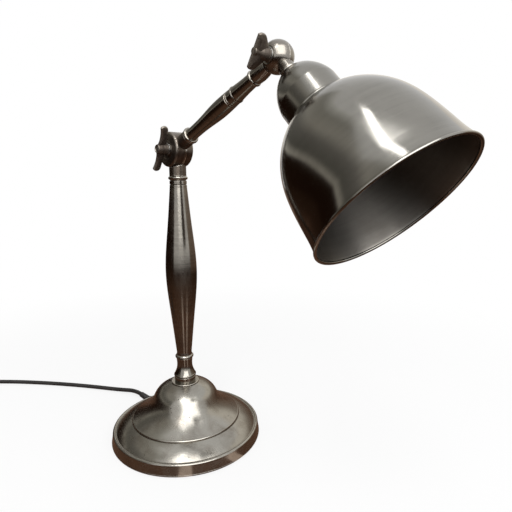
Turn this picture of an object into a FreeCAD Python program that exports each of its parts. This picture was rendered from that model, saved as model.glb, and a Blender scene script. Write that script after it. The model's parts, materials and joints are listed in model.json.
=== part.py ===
"""Dome shade desk lamp with a turned column, a turned arm and two wing-nut knuckles.

Frame: millimetres, +Z up, +X towards the shade. The origin is the centre of the base's
underside, so the column stands on the Z axis. Both hinge axes run along Y, and the wing nuts
are on the -Y side. The cord leaves the back of the base towards -X.
"""
import FreeCAD, Part
import math
import os

from FreeCAD import Placement, Rotation, Vector

# ---- driving dimensions -------------------------------------------------------------------
BASE_R = 80.0            # foot of the base
BASE_FOOT_Z = 0.5        # the felt stands this far below the shell
BASE_RIM_Z = 11.8        # top of the upright side wall
STEP_R = 57.7            # skirt of the bell
STEP_Z = 23.2
BELL_TOP_Z = 59.6
SHEET = 1.8              # spun sheet of the base
FELT_R = 77.0

HINGE_Z = 305.6          # lower knuckle
ARM_LENGTH = 153.8       # hinge to hinge
ARM_RISE = 22.6          # degrees above level
ARM_Y = -2.3             # the arm and the shade hang this far to the wing-nut side
HEAD_DIP = 46.3          # degrees below level

DRUM_R = 17.0            # lower knuckle's two discs
SPLIT_Y = -0.55          # where the two discs meet
SPLIT_GAP = 0.3          # between mating faces and round collars
COLUMN_DISC_Y = 8.7      # back face
ARM_DISC_Y = -11.7       # wing-nut face
BALL_R = 12.4            # upper knuckle's two half balls
BALL_FLAT = 10.5         # its flats, from the middle
BOLT_R = 3.0
SMALL_BOLT_R = 2.5
SHAFT_FIT = 0.05         # radial running clearance
WASHER_T = 1.0

NECK_R = 8.5             # column under the drum
COLLAR_R = 7.4           # arm beside the drum
STEM_R = 6.2             # from the ball to the cup
WIRE_R = 1.9             # the two-core wire inside the tubes
BORE_R = 2.7             # its bore

CUP_R = 23.0             # lampholder cover
CUP_START = 18.4         # along the head axis, from the upper hinge
CROWN_S = 61.0           # seam of cup and shade
RIM_S = 147.3            # mouth of the shade
RIM_R = 59.0
SHADE_WALL = 1.2
HOLDER_R = 20.0
E27_BORE_R = 13.2        # inside the lampholder's thread
E27_DEPTH = 21.0
HOLDER_MOUTH = 70.0

CORD_R = 2.5
CORD_Z = 2.6             # centre line of a cord that lies on the floor
GLAND_Z = 6.2
COIL_CENTRE = (-236.0, -225.0)
COIL_OUTER = 34.2        # centre line of the outermost turn
COIL_PITCH = 5.6         # between turns, and between layers
CLIMB_SHIFT = 2.0        # how far a climb moves towards the next layer's first turn
SWITCH_Y = (-158.0, -209.0)
SWITCH_X = -290.5
SWITCH_CORD_Z = 6.0
PLUG_X = -164.0          # where the cord enters the plug
PLUG_Y = COIL_CENTRE[1] - 33.7
PLUG_Z = 8.2

UP = Vector(0, 0, 1)
HEAD_X = ARM_LENGTH * math.cos(math.radians(ARM_RISE))
HEAD_Z = HINGE_Z + ARM_LENGTH * math.sin(math.radians(ARM_RISE))
ALONG_ARM = Placement(Vector(0, ARM_Y, HINGE_Z), Rotation(Vector(0, 1, 0), 90 - ARM_RISE))
ALONG_HEAD = Placement(Vector(HEAD_X, ARM_Y, HEAD_Z), Rotation(Vector(0, 1, 0), 90 + HEAD_DIP))

nodes = {}


# ---- helpers ------------------------------------------------------------------------------
class Outline:
    """A half section (radius, height) that is turned about Z."""

    def __init__(self, r, z):
        self.start = Vector(r, 0, z)
        self.here = self.start
        self.edges = []

    def line(self, r, z):
        end = Vector(r, 0, z)
        self.edges.append(Part.makeLine(self.here, end))
        self.here = end
        return self

    def arc(self, mid_r, mid_z, r, z):
        end = Vector(r, 0, z)
        self.edges.append(Part.Arc(self.here, Vector(mid_r, 0, mid_z), end).toShape())
        self.here = end
        return self

    def curve(self, *points):
        """A smooth curve through the points, from where the outline is."""
        places = [self.here] + [Vector(r, 0, z) for r, z in points]
        spline = Part.BSplineCurve()
        spline.interpolate(places)
        self.edges.append(spline.toShape())
        self.here = places[-1]
        return self

    def turn(self, frame=None):
        if self.here.distanceToPoint(self.start) > 1e-6:
            self.line(self.start.x, self.start.z)
        solid = Part.Face(Part.Wire(self.edges)).revolve(Vector(0, 0, 0), UP, 360)
        if solid.Volume < 0:
            solid.reverse()
        if frame:
            solid.Placement = frame
        return solid


def rod(radius, low, high, frame=None):
    solid = Part.makeCylinder(radius, high - low, Vector(0, 0, low), UP)
    if frame:
        solid.Placement = frame
    return solid


def cross_rod(radius, y0, y1, x=0.0, z=HINGE_Z):
    """A cylinder along Y, from y0 to y1."""
    return Part.makeCylinder(radius, y1 - y0, Vector(x, y0, z), Vector(0, 1, 0))


def facing_y(x, y, z, sign=1):
    """A frame whose own Z runs along +Y or -Y."""
    return Placement(Vector(x, y, z), Rotation(Vector(1, 0, 0), -90 * sign))


def block(low, high):
    size = [b - a for a, b in zip(low, high)]
    return Part.makeBox(*size, Vector(*low))


def hexagon(across_flats, low, high, hole_r, frame=None):
    """A nut round Z, with its bore."""
    corner = across_flats / math.sqrt(3)
    points = [Vector(corner * math.cos(math.radians(60 * k)), corner * math.sin(math.radians(60 * k)), low)
              for k in range(7)]
    nut = Part.Face(Part.makePolygon(points)).extrude(UP * (high - low))
    nut = nut.cut(rod(hole_r, low - 1, high + 1))
    if frame:
        nut.Placement = frame
    return nut


def bead(inner_r, outer_r, low, high, frame=None):
    """A ring with a half-round outer face."""
    edge = outer_r - (high - low) * 0.35
    middle = (low + high) / 2
    ring = Outline(inner_r, low).line(edge, low).arc(outer_r, middle, edge, high).line(inner_r, high)
    return ring.turn(frame)


def washer(inner_r, outer_r, low, high, frame=None):
    return Outline(inner_r, low).line(outer_r, low).line(outer_r, high).line(inner_r, high).turn(frame)


# ---- base ---------------------------------------------------------------------------------
def base_shell():
    """One spun sheet: an upright wall with a beaded top, a rising ring, a step and the bell."""
    t = SHEET
    outer = Outline(BASE_R - t, BASE_FOOT_Z)
    outer.line(BASE_R - 0.4, BASE_FOOT_Z)
    outer.arc(BASE_R, BASE_FOOT_Z + 0.8, BASE_R - 0.2, BASE_FOOT_Z + 1.6)
    outer.line(78.6, BASE_RIM_Z - 1.4)
    outer.arc(77.4, BASE_RIM_Z + 0.6, 75.6, BASE_RIM_Z)
    outer.line(74.6, BASE_RIM_Z - 0.1)
    outer.arc(67.0, 17.7, STEP_R + 0.9, STEP_Z - 1.6)
    outer.line(STEP_R + 0.2, STEP_Z - 1.6)
    outer.arc(STEP_R + 0.1, STEP_Z, STEP_R - 1.0, STEP_Z + 0.6)
    outer.curve((45.2, 31.0), (36.0, 41.2), (31.8, 49.0), (24.6, 55.6), (15.0, BELL_TOP_Z))
    outer.line(5.1, BELL_TOP_Z)
    outer.line(5.1, BELL_TOP_Z - t)
    outer.line(14.4, BELL_TOP_Z - t)
    outer.curve((23.2, 54.2), (30.0, 48.2), (34.4, 40.2), (44.0, 29.6), (55.6, STEP_Z - 1.1))
    outer.line(STEP_R - 0.6, STEP_Z - 3.2)
    outer.arc(65.9, 16.2, 73.9, BASE_RIM_Z - 1.9)
    outer.arc(75.8, BASE_RIM_Z - 1.5, 76.8, BASE_RIM_Z - 2.6)
    outer.line(BASE_R - 0.2 - t, BASE_FOOT_Z + 1.6)
    shell = outer.turn()
    cord_hole = Part.makeCylinder(3.9, 20, Vector(-90, 0, GLAND_Z), Vector(1, 0, 0))
    return shell.cut(cord_hole)


def base_weight():
    """A cast disc with a tapped boss and a slot for the wire."""
    disc = Outline(5.05, 11).line(10, 11).line(10, 2).line(71.5, 2).line(73, 3.5).line(73, 9.4)
    disc.line(71.5, 10).line(20, 10).arc(16.5, 11.5, 16, 15).line(15, 20).line(5.05, 20)
    slot = block((-80, -3.6, 1), (-8, 3.6, 9.6))
    return disc.turn().cut(slot)


def base_pieces():
    nodes["base_shell"] = base_shell()
    nodes["base_weight"] = base_weight()
    nodes["base_felt"] = rod(FELT_R, 0, 2.0)
    nodes["tie_tube"] = washer(3.5, 5.0, 11.2, 78)
    nodes["tie_tube_nut"] = hexagon(14, 20, 23.5, 5.05)
    nodes["bell_collar"] = bell_collar()
    nodes["cord_bush"] = cord_bush()
    nodes["inner_wire"] = inner_wire()


def bell_collar():
    ring = Outline(5.1, BELL_TOP_Z).line(14.2, BELL_TOP_Z).arc(14.9, BELL_TOP_Z + 0.7, 14.2, BELL_TOP_Z + 1.4)
    return ring.line(5.1, BELL_TOP_Z + 1.4).turn()


def cord_bush():
    """A rubber grommet in the wall with a tapered tail, along -X."""
    low = 74.0
    tail = Outline(1.95, low).line(3.8, low).line(3.8, 80.2).line(4.9, 80.2).arc(5.1, 81.1, 4.4, 82.0)
    tail.curve((3.7, 90.0), (3.2, 101.5)).line(0, 101.5).line(0, 82.0).line(1.95, 82.0)
    frame = Placement(Vector(0, 0, GLAND_Z), Rotation(Vector(0, 1, 0), -90))
    return tail.turn(frame).cut(nodes["base_shell"])


def inner_wire():
    """From the bush along the slot, up through the tube and the column to under the knuckle."""
    bend = 8.0
    turn = Vector(-bend + bend * math.sin(math.radians(45)), 0, GLAND_Z + bend * (1 - math.cos(math.radians(45))))
    path = [
        Part.makeLine(Vector(-82.0, 0, GLAND_Z), Vector(-bend, 0, GLAND_Z)),
        Part.Arc(Vector(-bend, 0, GLAND_Z), turn, Vector(0, 0, GLAND_Z + bend)).toShape(),
        Part.makeLine(Vector(0, 0, GLAND_Z + bend), Vector(0, 0, 287.5)),
    ]
    ring = Part.Wire(Part.makeCircle(WIRE_R, Vector(-82.0, 0, GLAND_Z), Vector(1, 0, 0)))
    return Part.Wire(path).makePipeShell([ring], True, False)


# ---- column -------------------------------------------------------------------------------
def column_pieces():
    bore = rod(BORE_R, 50, 300)
    foot_z = BELL_TOP_Z + 1.4
    foot = Outline(0, foot_z).line(11.1, foot_z).line(11.3, 66.2).line(10.7, 66.7).line(11.4, 67.2)
    foot.arc(11.8, 68.4, 11.2, 69.4).curve((8.7, 75.5), (8.1, 80.5), (8.6, 87.0)).line(0, 87.0)
    tube_hole = rod(5.05, 60, 79)
    nodes["column_foot"] = foot.turn().cut(bore).cut(tube_hole)
    nodes["column_lower_ring"] = bead(BORE_R, 9.7, 87.0, 90.8)
    body = Outline(0, 90.8).line(8.2, 90.8).line(7.9, 93.5)
    body.curve((12.6, 138), (16.1, 183), (12.7, 226), (8.75, 268)).line(8.6, 271.0)
    body.line(7.9, 271.4).line(8.6, 271.8).line(8.6, 275.0).line(7.9, 275.4).line(8.4, 276.2).line(0, 276.2)
    nodes["column"] = body.turn().cut(bore)
    nodes["column_upper_ring"] = bead(BORE_R, 9.8, 276.2, 279.5)
    nodes["column_knuckle"] = column_knuckle()


def disc_half(y_mate, y_face, radius, x, z):
    """A round disc along Y with a rounded outer edge, a bolt hole and a wire chamber."""
    depth = abs(y_face - y_mate)
    sign = 1 if y_face > y_mate else -1
    edge = Outline(0, 0).line(radius, 0).line(radius, depth - 2.2)
    edge.arc(radius - 0.7, depth - 0.7, radius - 2.4, depth).line(0, depth)
    return edge.turn(facing_y(x, y_mate, z, sign))


def chamber(y_mate, depth, inner_r, outer_r, x, z):
    """The ring-shaped hollow where the wire goes round the bolt."""
    y0, y1 = sorted((y_mate, y_mate + depth))
    return cross_rod(outer_r, y0, y1, x, z).cut(cross_rod(inner_r, y0, y1, x, z))


def column_knuckle():
    """The neck and the back disc of the lower knuckle."""
    mate = SPLIT_Y + SPLIT_GAP / 2
    disc = disc_half(mate, COLUMN_DISC_Y, DRUM_R, 0, HINGE_Z)
    neck = rod(NECK_R, 279.5, HINGE_Z - 6)
    front = cross_rod(DRUM_R + SPLIT_GAP, -20, mate)
    solid = disc.fuse(neck.cut(front))
    solid = solid.cut(rod(BORE_R, 270, 287.5))
    solid = solid.cut(rod(1.5, 287, HINGE_Z - 8, Placement(Vector(0, 4.0, 0), Rotation())))
    solid = solid.cut(chamber(mate, 4.0, 6.0, 11.0, 0, HINGE_Z))
    return solid.cut(cross_rod(BOLT_R + SHAFT_FIT, -5, 12))


def domed_bolt(shank_r, head_r, head_t, length, slot_w):
    """A bolt along its own Z, its slotted head at the top and its end at -length."""
    bolt = Outline(0, -length).line(shank_r - 0.4, -length).line(shank_r, -length + 0.5)
    bolt.line(shank_r, 0).line(head_r, 0).line(head_r, 0.6).arc(head_r * 0.72, head_t * 0.75, 0, head_t)
    slot = block((-head_r, -slot_w / 2, head_t * 0.5), (head_r, slot_w / 2, head_t + 1))
    return bolt.turn().cut(slot)


def wing_nut(seat_r, end_r, height, bore_r, inner, tip, outer, notch, thickness):
    """A cast wing nut on its own Z, seated at 0. Wing corners are (reach, height) pairs."""
    hub = Outline(bore_r, 0).line(seat_r, 0).line(end_r, height * 0.45)
    hub.arc(end_r * 0.93, height * 0.86, bore_r + 0.6, height).line(bore_r, height - 0.5)
    nut = hub.turn()
    for side in (1, -1):
        def place(reach, z):
            return Vector(side * reach, -thickness / 2, z)
        root = bore_r + 0.8
        edges = [
            Part.makeLine(place(root, 0.6), place(*inner[0])),
            Part.makeLine(place(*inner[0]), place(*inner[1])),
            Part.Arc(place(*inner[1]), place(*tip), place(*outer)).toShape(),
            Part.Arc(place(*outer), place(*notch), place(root, height - 1.2)).toShape(),
            Part.makeLine(place(root, height - 1.2), place(root, 0.6)),
        ]
        wing = Part.Face(Part.Wire(edges)).extrude(Vector(0, thickness, 0))
        rims = [e for e in wing.Edges if abs(e.CenterOfMass.y) > thickness / 2 - 1e-3
                and abs(e.CenterOfMass.x) > inner[0][0]]
        nut = nut.fuse(wing.makeFillet(thickness * 0.3, rims))
    return nut.removeSplitter()


def wing_frame(x, y, z, turn):
    """The nut's own Z along -Y, with its wings turned up from +X by the angle in degrees."""
    a = math.radians(turn)
    return Placement(Vector(x, y, z),
                     Rotation(Vector(math.cos(a), 0, math.sin(a)),
                              Vector(-math.sin(a), 0, math.cos(a)), Vector(0, -1, 0), "ZXY"))


def lower_clamp_pieces():
    head = domed_bolt(BOLT_R, 6.0, 3.2, 31.0, 1.4)
    head.Placement = facing_y(0, COLUMN_DISC_Y, HINGE_Z)
    nodes["lower_bolt"] = head
    seat = facing_y(0, ARM_DISC_Y, HINGE_Z, -1)
    nodes["lower_washer"] = washer(BOLT_R + 0.3, 6.4, 0.0, WASHER_T, seat)
    nut = wing_nut(5.6, 4.9, 10.2, BOLT_R + SHAFT_FIT,
                   inner=((6.5, 0.9), (18.6, 1.9)), tip=(22.9, 6.2), outer=(20.4, 10.3),
                   notch=(10.5, 7.2), thickness=3.2)
    nut.Placement = wing_frame(0, ARM_DISC_Y - WASHER_T - 0.1, HINGE_Z, 64.5)
    nodes["lower_wing_nut"] = nut


# ---- arm ----------------------------------------------------------------------------------
def arm_pieces():
    nodes["arm_knuckle"] = arm_knuckle()
    bore = rod(BORE_R, 10, 140)
    nodes["arm_lower_ring"] = bead(BORE_R, 8.1, 28.6, 31.8, ALONG_ARM)
    body = Outline(0, 31.8).line(6.3, 31.8).line(5.9, 34.0).curve((6.3, 54), (7.75, 78), (7.45, 93.8))
    body.line(6.9, 94.2).line(7.4, 94.7).line(7.35, 95.6).line(6.8, 96.0).line(7.3, 96.5)
    body.line(7.1, 101.3).arc(7.55, 102.3, 7.0, 103.3).curve((6.1, 115.0), (5.8, 124.4)).line(0, 124.4)
    nodes["arm"] = placed(body.turn().cut(bore), ALONG_ARM)
    nodes["arm_upper_ring"] = bead(BORE_R, 6.9, 124.4, 127.4, ALONG_ARM)
    nodes["arm_ball_half"] = arm_ball_half()
    nodes["arm_wire"] = rod(WIRE_R, 19, 138, ALONG_ARM)


def placed(solid, frame):
    solid.Placement = frame
    return solid


def arm_knuckle():
    """The front disc of the lower knuckle and the collar that holds the arm."""
    mate = SPLIT_Y - SPLIT_GAP / 2
    disc = disc_half(mate, ARM_DISC_Y, DRUM_R, 0, HINGE_Z)
    collar = Outline(0, 8).line(COLLAR_R - 0.2, 8).line(COLLAR_R, 27.4).line(COLLAR_R - 0.6, 28.6)
    back = cross_rod(DRUM_R + SPLIT_GAP, mate, 20)
    solid = disc.fuse(collar.line(0, 28.6).turn(ALONG_ARM).cut(back))
    solid = solid.cut(rod(BORE_R, 19, 40, ALONG_ARM))
    side = Placement(Vector(0, -3.2, 0), Rotation()).multiply(ALONG_ARM)
    solid = solid.cut(rod(1.5, 8, 20, side))
    solid = solid.cut(chamber(mate, -4.0, 6.0, 11.0, 0, HINGE_Z))
    return solid.cut(cross_rod(BOLT_R + SHAFT_FIT, -20, 5))


def half_ball(side):
    """Half of the upper ball on one side of the arm's middle plane, with a flat for the bolt."""
    mate = ARM_Y + side * SPLIT_GAP / 2
    ball = Part.makeSphere(BALL_R, Vector(HEAD_X, ARM_Y, HEAD_Z))
    low, high = sorted((mate, ARM_Y + side * BALL_FLAT))
    keep = cross_rod(BALL_R + 1, low, high, HEAD_X, HEAD_Z)
    return ball.common(keep), mate


def arm_ball_half():
    """The collar on the arm's end with the back half of the ball."""
    half, mate = half_ball(1)
    end = ARM_LENGTH
    collar = Outline(0, 127.4).line(6.0, 127.4).line(6.3, 128.2).arc(6.75, 133.0, 6.2, 139.5)
    collar = collar.line(5.6, end - 6).line(0, end - 6).turn(ALONG_ARM)
    free = Part.makeSphere(BALL_R + SPLIT_GAP, Vector(HEAD_X, ARM_Y, HEAD_Z))
    free = free.common(cross_rod(20, -30, mate, HEAD_X, HEAD_Z))
    solid = half.fuse(collar.cut(free))
    solid = solid.cut(rod(BORE_R, 120, 138, ALONG_ARM))
    side = Placement(Vector(0, 3.0, 0), Rotation()).multiply(ALONG_ARM)
    solid = solid.cut(rod(1.4, 137, end - 5, side))
    solid = solid.cut(chamber(mate, 3.0, 4.6, 8.0, HEAD_X, HEAD_Z))
    return solid.cut(cross_rod(SMALL_BOLT_R + SHAFT_FIT, -5, 12, HEAD_X, HEAD_Z))


def upper_clamp_pieces():
    back = ARM_Y + BALL_FLAT
    front = ARM_Y - BALL_FLAT
    bolt = domed_bolt(SMALL_BOLT_R, 4.6, 2.6, 35.0, 1.2)
    bolt.Placement = facing_y(HEAD_X, back, HEAD_Z)
    nodes["upper_bolt"] = bolt
    seat = facing_y(HEAD_X, front, HEAD_Z, -1)
    nodes["upper_washer"] = washer(SMALL_BOLT_R + 0.3, 5.6, 0.0, WASHER_T, seat)
    nut = wing_nut(5.0, 4.4, 14.0, SMALL_BOLT_R + SHAFT_FIT,
                   inner=((5.2, 1.0), (10.8, 5.6)), tip=(12.9, 10.6), outer=(11.6, 13.9),
                   notch=(7.0, 13.6), thickness=3.0)
    nut.Placement = wing_frame(HEAD_X, front - WASHER_T - 0.1, HEAD_Z, 58.0)
    nodes["upper_wing_nut"] = nut


# ---- head ---------------------------------------------------------------------------------
def head_pieces():
    nodes["head_ball_half"] = head_ball_half()
    nodes["stem_ring"] = bead(5.05, 7.0, 16.0, CUP_START, ALONG_HEAD)
    nodes["holder_nipple"] = washer(3.3, 5.0, 13.2, 34.5, ALONG_HEAD)
    nodes["cup"] = cup()
    nodes["cup_nut"] = hexagon(11.0, CUP_START + SHADE_WALL, 22.8, 5.05, ALONG_HEAD)
    nodes["holder_body"] = holder_body()
    nodes["holder_sleeve"] = washer(E27_BORE_R, 14.1, HOLDER_MOUTH - E27_DEPTH, HOLDER_MOUTH, ALONG_HEAD)
    nodes["holder_contact"] = holder_contact()
    nodes["shade"] = shade()
    nodes["shade_ring"] = shade_ring()
    nodes["head_wire"] = rod(WIRE_R, 13.2, 43.5, ALONG_HEAD)


def head_ball_half():
    """The front half of the ball with the stem that carries the cup."""
    half, mate = half_ball(-1)
    stem = rod(STEM_R, 5, 16.0, ALONG_HEAD)
    free = Part.makeSphere(BALL_R + SPLIT_GAP, Vector(HEAD_X, ARM_Y, HEAD_Z))
    free = free.common(cross_rod(20, mate, 30, HEAD_X, HEAD_Z))
    solid = half.fuse(stem.cut(free))
    solid = solid.cut(rod(5.02, 13.2, 20, ALONG_HEAD))
    side = Placement(Vector(0, -3.0, 0), Rotation()).multiply(ALONG_HEAD)
    solid = solid.cut(rod(1.4, 5, 14, side))
    solid = solid.cut(chamber(mate, -3.0, 4.6, 8.0, HEAD_X, HEAD_Z))
    return solid.cut(cross_rod(SMALL_BOLT_R + SHAFT_FIT, -16, 2, HEAD_X, HEAD_Z))


def cup():
    """A spun cap: a domed end, then a straight wall down to the shade."""
    t = SHADE_WALL
    outer = Outline(5.05, CUP_START).line(6.6, CUP_START)
    outer.arc(17.3, 28.6, CUP_R, 44.0).line(CUP_R, CROWN_S - 1.6).line(CUP_R + 0.5, CROWN_S - 0.8)
    outer.line(CUP_R + 0.3, CROWN_S).line(CUP_R - t, CROWN_S).line(CUP_R - t, 44.0)
    outer.arc(16.3, 29.5, 6.4, CUP_START + t).line(5.05, CUP_START + t)
    return outer.turn(ALONG_HEAD)


def shade():
    """The spun dome: a steep crown, a long side that straightens, a flared lip and a rolled rim."""
    t = SHADE_WALL
    dome = Outline(HOLDER_R + 0.3, CROWN_S).line(23.2, CROWN_S)
    dome.curve((33.4, 68.0), (43.4, 79.0), (51.0, 94.0), (55.1, 113.0), (57.0, 133.0))
    dome.arc(57.7, 139.5, RIM_R, RIM_S - 0.9)
    dome.arc(RIM_R + 1.0, RIM_S + 0.2, RIM_R - 0.3, RIM_S + 0.9)
    dome.arc(RIM_R - 1.3, RIM_S + 0.3, RIM_R - 1.3, RIM_S - 0.9)
    dome.arc(56.5, 139.5, 57.0 - t, 133.0)
    dome.curve((53.9, 113.2), (49.9, 94.4), (42.5, 79.9), (32.6, 69.0), (22.6, CROWN_S + t))
    dome.line(HOLDER_R + 0.3, CROWN_S + t)
    return dome.turn(ALONG_HEAD)


def holder_body():
    """The lampholder's outer shell, with the flange that carries the crown of the shade."""
    top, mouth, seat = 27.5, HOLDER_MOUTH + 2, HOLDER_MOUTH - E27_DEPTH
    body = Outline(5.05, top).line(10.5, top).arc(16.2, 31.0, HOLDER_R - 0.3, 38.0).line(HOLDER_R, 42.0)
    body.line(HOLDER_R, 57.6).line(21.6, 58.4).line(21.6, CROWN_S).line(HOLDER_R, CROWN_S)
    body.line(HOLDER_R, mouth - 1.0).line(HOLDER_R - 1.0, mouth).line(15.2, mouth)
    body.line(14.15, HOLDER_MOUTH).line(14.15, seat).line(13.4, seat).line(13.4, 43.5).line(5.05, 43.5)
    return body.turn(ALONG_HEAD)


def holder_contact():
    """The centre contact on its insulating disc."""
    disc = Outline(0, 43.5).line(13.35, 43.5).line(13.35, 46.0).line(4.0, 46.0)
    return disc.line(4.0, 47.0).arc(2.8, 48.2, 0.8, 48.6).line(0, 48.6).turn(ALONG_HEAD)


def shade_ring():
    """The threaded ring under the crown, with grip notches."""
    low = CROWN_S + SHADE_WALL
    ring = Outline(HOLDER_R + 0.05, low).line(22.3, low).line(25.6, low + 3.2).line(25.6, low + 6.0)
    ring = ring.line(24.8, low + 6.8).line(HOLDER_R + 0.05, low + 6.8).turn()
    for k in range(12):
        notch = rod(1.6, low + 2.0, low + 8.0, Placement(Vector(26.4, 0, 0), Rotation()))
        notch.rotate(Vector(0, 0, 0), UP, 30 * k)
        ring = ring.cut(notch)
    return placed(ring, ALONG_HEAD)


# ---- cord ---------------------------------------------------------------------------------
LEAD_ROUTE = [
    (-101.5, 0.0, GLAND_Z), (-116.0, 0.0, GLAND_Z), (-140.0, -11.0, CORD_Z), (-180.0, -37.0, CORD_Z),
    (-222.0, -68.5, CORD_Z), (-258.0, -99.0, CORD_Z), (-283.0, -124.0, CORD_Z),
    (SWITCH_X, -142.0, SWITCH_CORD_Z), (SWITCH_X, SWITCH_Y[0], SWITCH_CORD_Z),
]
LINK_ROUTE = [
    (SWITCH_X, SWITCH_Y[1], SWITCH_CORD_Z), (SWITCH_X, -224.8, SWITCH_CORD_Z),
    (-278.5, -245.6, CORD_Z), (-257.7, COIL_CENTRE[1] - COIL_OUTER, CORD_Z),
    (COIL_CENTRE[0] - 5.0, COIL_CENTRE[1] - COIL_OUTER, CORD_Z),
]
COIL_END_Z = CORD_Z + 3 * COIL_PITCH
TAIL_ROUTE = [
    (COIL_CENTRE[0] + 5.0, COIL_CENTRE[1] - 32.2, COIL_END_Z),
    (COIL_CENTRE[0] + 22.0, COIL_CENTRE[1] - 32.2, COIL_END_Z),
    (COIL_CENTRE[0] + 40.0, COIL_CENTRE[1] - 33.0, 13.0), (COIL_CENTRE[0] + 57.0, PLUG_Y, PLUG_Z),
    (PLUG_X, PLUG_Y, PLUG_Z),
]


def cord_tube(name, route):
    """Straight runs joined by tangent arcs, each arc as large as its two runs allow."""
    points = [Vector(*p) for p in route]
    edges, here, length = [], points[0], 0.0
    for before, corner, after in zip(points, points[1:], points[2:]):
        into = (corner - before).normalize()
        out = (after - corner).normalize()
        cut = 0.45 * min(before.distanceToPoint(corner), corner.distanceToPoint(after))
        half_turn = into.getAngle(out) / 2
        radius = cut / math.tan(half_turn)
        start, end = corner - into * cut, corner + out * cut
        middle = corner + (out - into).normalize() * (radius / math.cos(half_turn) - radius)
        edges += [Part.makeLine(here, start), Part.Arc(start, middle, end).toShape()]
        length += here.distanceToPoint(start) + 2 * radius * half_turn
        here = end
        print(f"{name}: turn {math.degrees(2 * half_turn):5.1f} deg, radius {radius:7.1f} mm")
    edges.append(Part.makeLine(here, points[-1]))
    length += here.distanceToPoint(points[-1])
    ring = Part.Wire(Part.makeCircle(CORD_R, points[0], points[1] - points[0]))
    tube = Part.Wire(edges).makePipeShell([ring], True, False)
    expected = math.pi * CORD_R ** 2 * length
    print(f"{name}: length {length:.1f} mm, volume {tube.Volume:.0f} of {expected:.0f} mm3")
    return tube, length


def coil_stations():
    """(radius, height) at each half turn, alternately at -Y and +Y. Each climb to the next layer
    takes a half turn, and the half turn after it moves over by a whole pitch to stay clear."""
    step = COIL_PITCH / 2
    radius, height = COIL_OUTER, CORD_Z
    stations = [(radius, height)]
    for layer in range(4):
        inward = 1 if layer % 2 else -1
        halves = (1, 1, 1, 1) if layer == 0 else (2, 1, 1)
        for count in halves:
            radius += inward * step * count
            stations.append((radius, height))
        if layer < 3:
            radius += inward * CLIMB_SHIFT
            height += COIL_PITCH
            stations.append((radius, height))
    return stations


def biarc(p0, t0, p1, t1):
    """Two arcs that leave p0 along t0, reach p1 along t1 and share a tangent between."""
    v = p1 - p0
    t = t0 + t1
    a = 2 * (1 - t0.dot(t1))
    b = v.dot(t)
    d = (-b + math.sqrt(b * b + a * v.dot(v))) / a
    middle = (p0 + p1 + (t0 - t1) * d) * 0.5
    shape = []
    for end, tangent, other in ((p0, t0, middle), (p1, t1 * -1, middle)):
        chord = other - end
        across = chord - tangent * chord.dot(tangent)
        radius = chord.dot(chord) / (2 * across.Length)
        centre = end + across.normalize() * radius
        halfway = ((end + other) * 0.5 - centre).normalize() * radius + centre
        ends = (end, halfway, other) if tangent is t0 else (other, halfway, end)
        shape.append(Part.Arc(*ends).toShape())
    return shape


def cord_coil():
    """The put-away cord: four layers of turns, wound in and out, as one unbroken tube."""
    cx, cy = COIL_CENTRE
    stations = coil_stations()
    places = []
    for k, (radius, height) in enumerate(stations):
        side = -1 if k % 2 == 0 else 1
        places.append((Vector(cx, cy + side * radius, height), Vector(-side, 0, 0)))
    lead_in = places[0][0] - places[0][1] * 2 * CORD_R
    lead_out = places[-1][0] + places[-1][1] * 2 * CORD_R
    edges = [Part.makeLine(lead_in, places[0][0])]
    for (p0, t0), (p1, t1) in zip(places, places[1:]):
        edges += biarc(p0, t0, p1, t1)
    edges.append(Part.makeLine(places[-1][0], lead_out))
    path = Part.Wire(edges)
    ring = Part.Wire(Part.makeCircle(CORD_R, lead_in, places[0][1]))
    tube = path.makePipeShell([ring], True, False)
    expected = math.pi * CORD_R ** 2 * path.Length
    gap = least_gap(edges)
    print(f"cord_coil: length {path.Length:.1f} mm, volume {tube.Volume:.0f} of {expected:.0f} mm3")
    print(f"cord_coil: least gap to itself {gap:.2f} mm, inner radius {min(r for r, _ in stations):.1f} mm")
    return tube, path.Length


def least_gap(edges, spacing=3.0):
    """The least clear distance between stretches of the coil that aren't neighbours."""
    points, along, travelled = [], [], 0.0
    for edge in edges:
        count = max(2, int(edge.Length / spacing))
        low, high = edge.FirstParameter, edge.LastParameter
        ends = (edge.valueAt(low), edge.valueAt(high))
        flipped = bool(points) and points[-1].distanceToPoint(ends[1]) < points[-1].distanceToPoint(ends[0])
        for k in range(count):
            share = (k + 1) / count
            points.append(edge.valueAt(high - (high - low) * share if flipped else low + (high - low) * share))
            along.append(travelled + edge.Length * share)
        travelled += edge.Length
    reach = 8 * CORD_R
    nearest = min(p.distanceToPoint(q) for i, p in enumerate(points) for j, q in enumerate(points[:i])
                  if along[i] - along[j] > reach)
    return nearest - 2 * CORD_R


def cord_switch():
    """An in-line hand switch in two halves, with a rocker."""
    low, high = SWITCH_Y[1], SWITCH_Y[0]
    middle = (low + high) / 2
    half_w, split, top = 12.5, 7.2, 15.5
    lower = block((SWITCH_X - half_w, low, 0.1), (SWITCH_X + half_w, high, split - 0.1))
    upper = block((SWITCH_X - half_w, low, split), (SWITCH_X + half_w, high, top))
    lower = rounded(lower, split - 0.1)
    upper = rounded(upper, split)
    window = block((SWITCH_X - 5.3, middle - 8.3, split + 0.8), (SWITCH_X + 5.3, middle + 8.3, top + 5))
    pin_z = split + 4.0
    pin = Part.makeCylinder(1.0, 10.6, Vector(SWITCH_X - 5.3, middle, pin_z), Vector(1, 0, 0))
    nodes["switch_base"] = lower
    nodes["switch_cover"] = upper.cut(window)
    nodes["switch_pin"] = pin
    nodes["switch_rocker"] = rocker(middle, pin_z, top)


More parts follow.
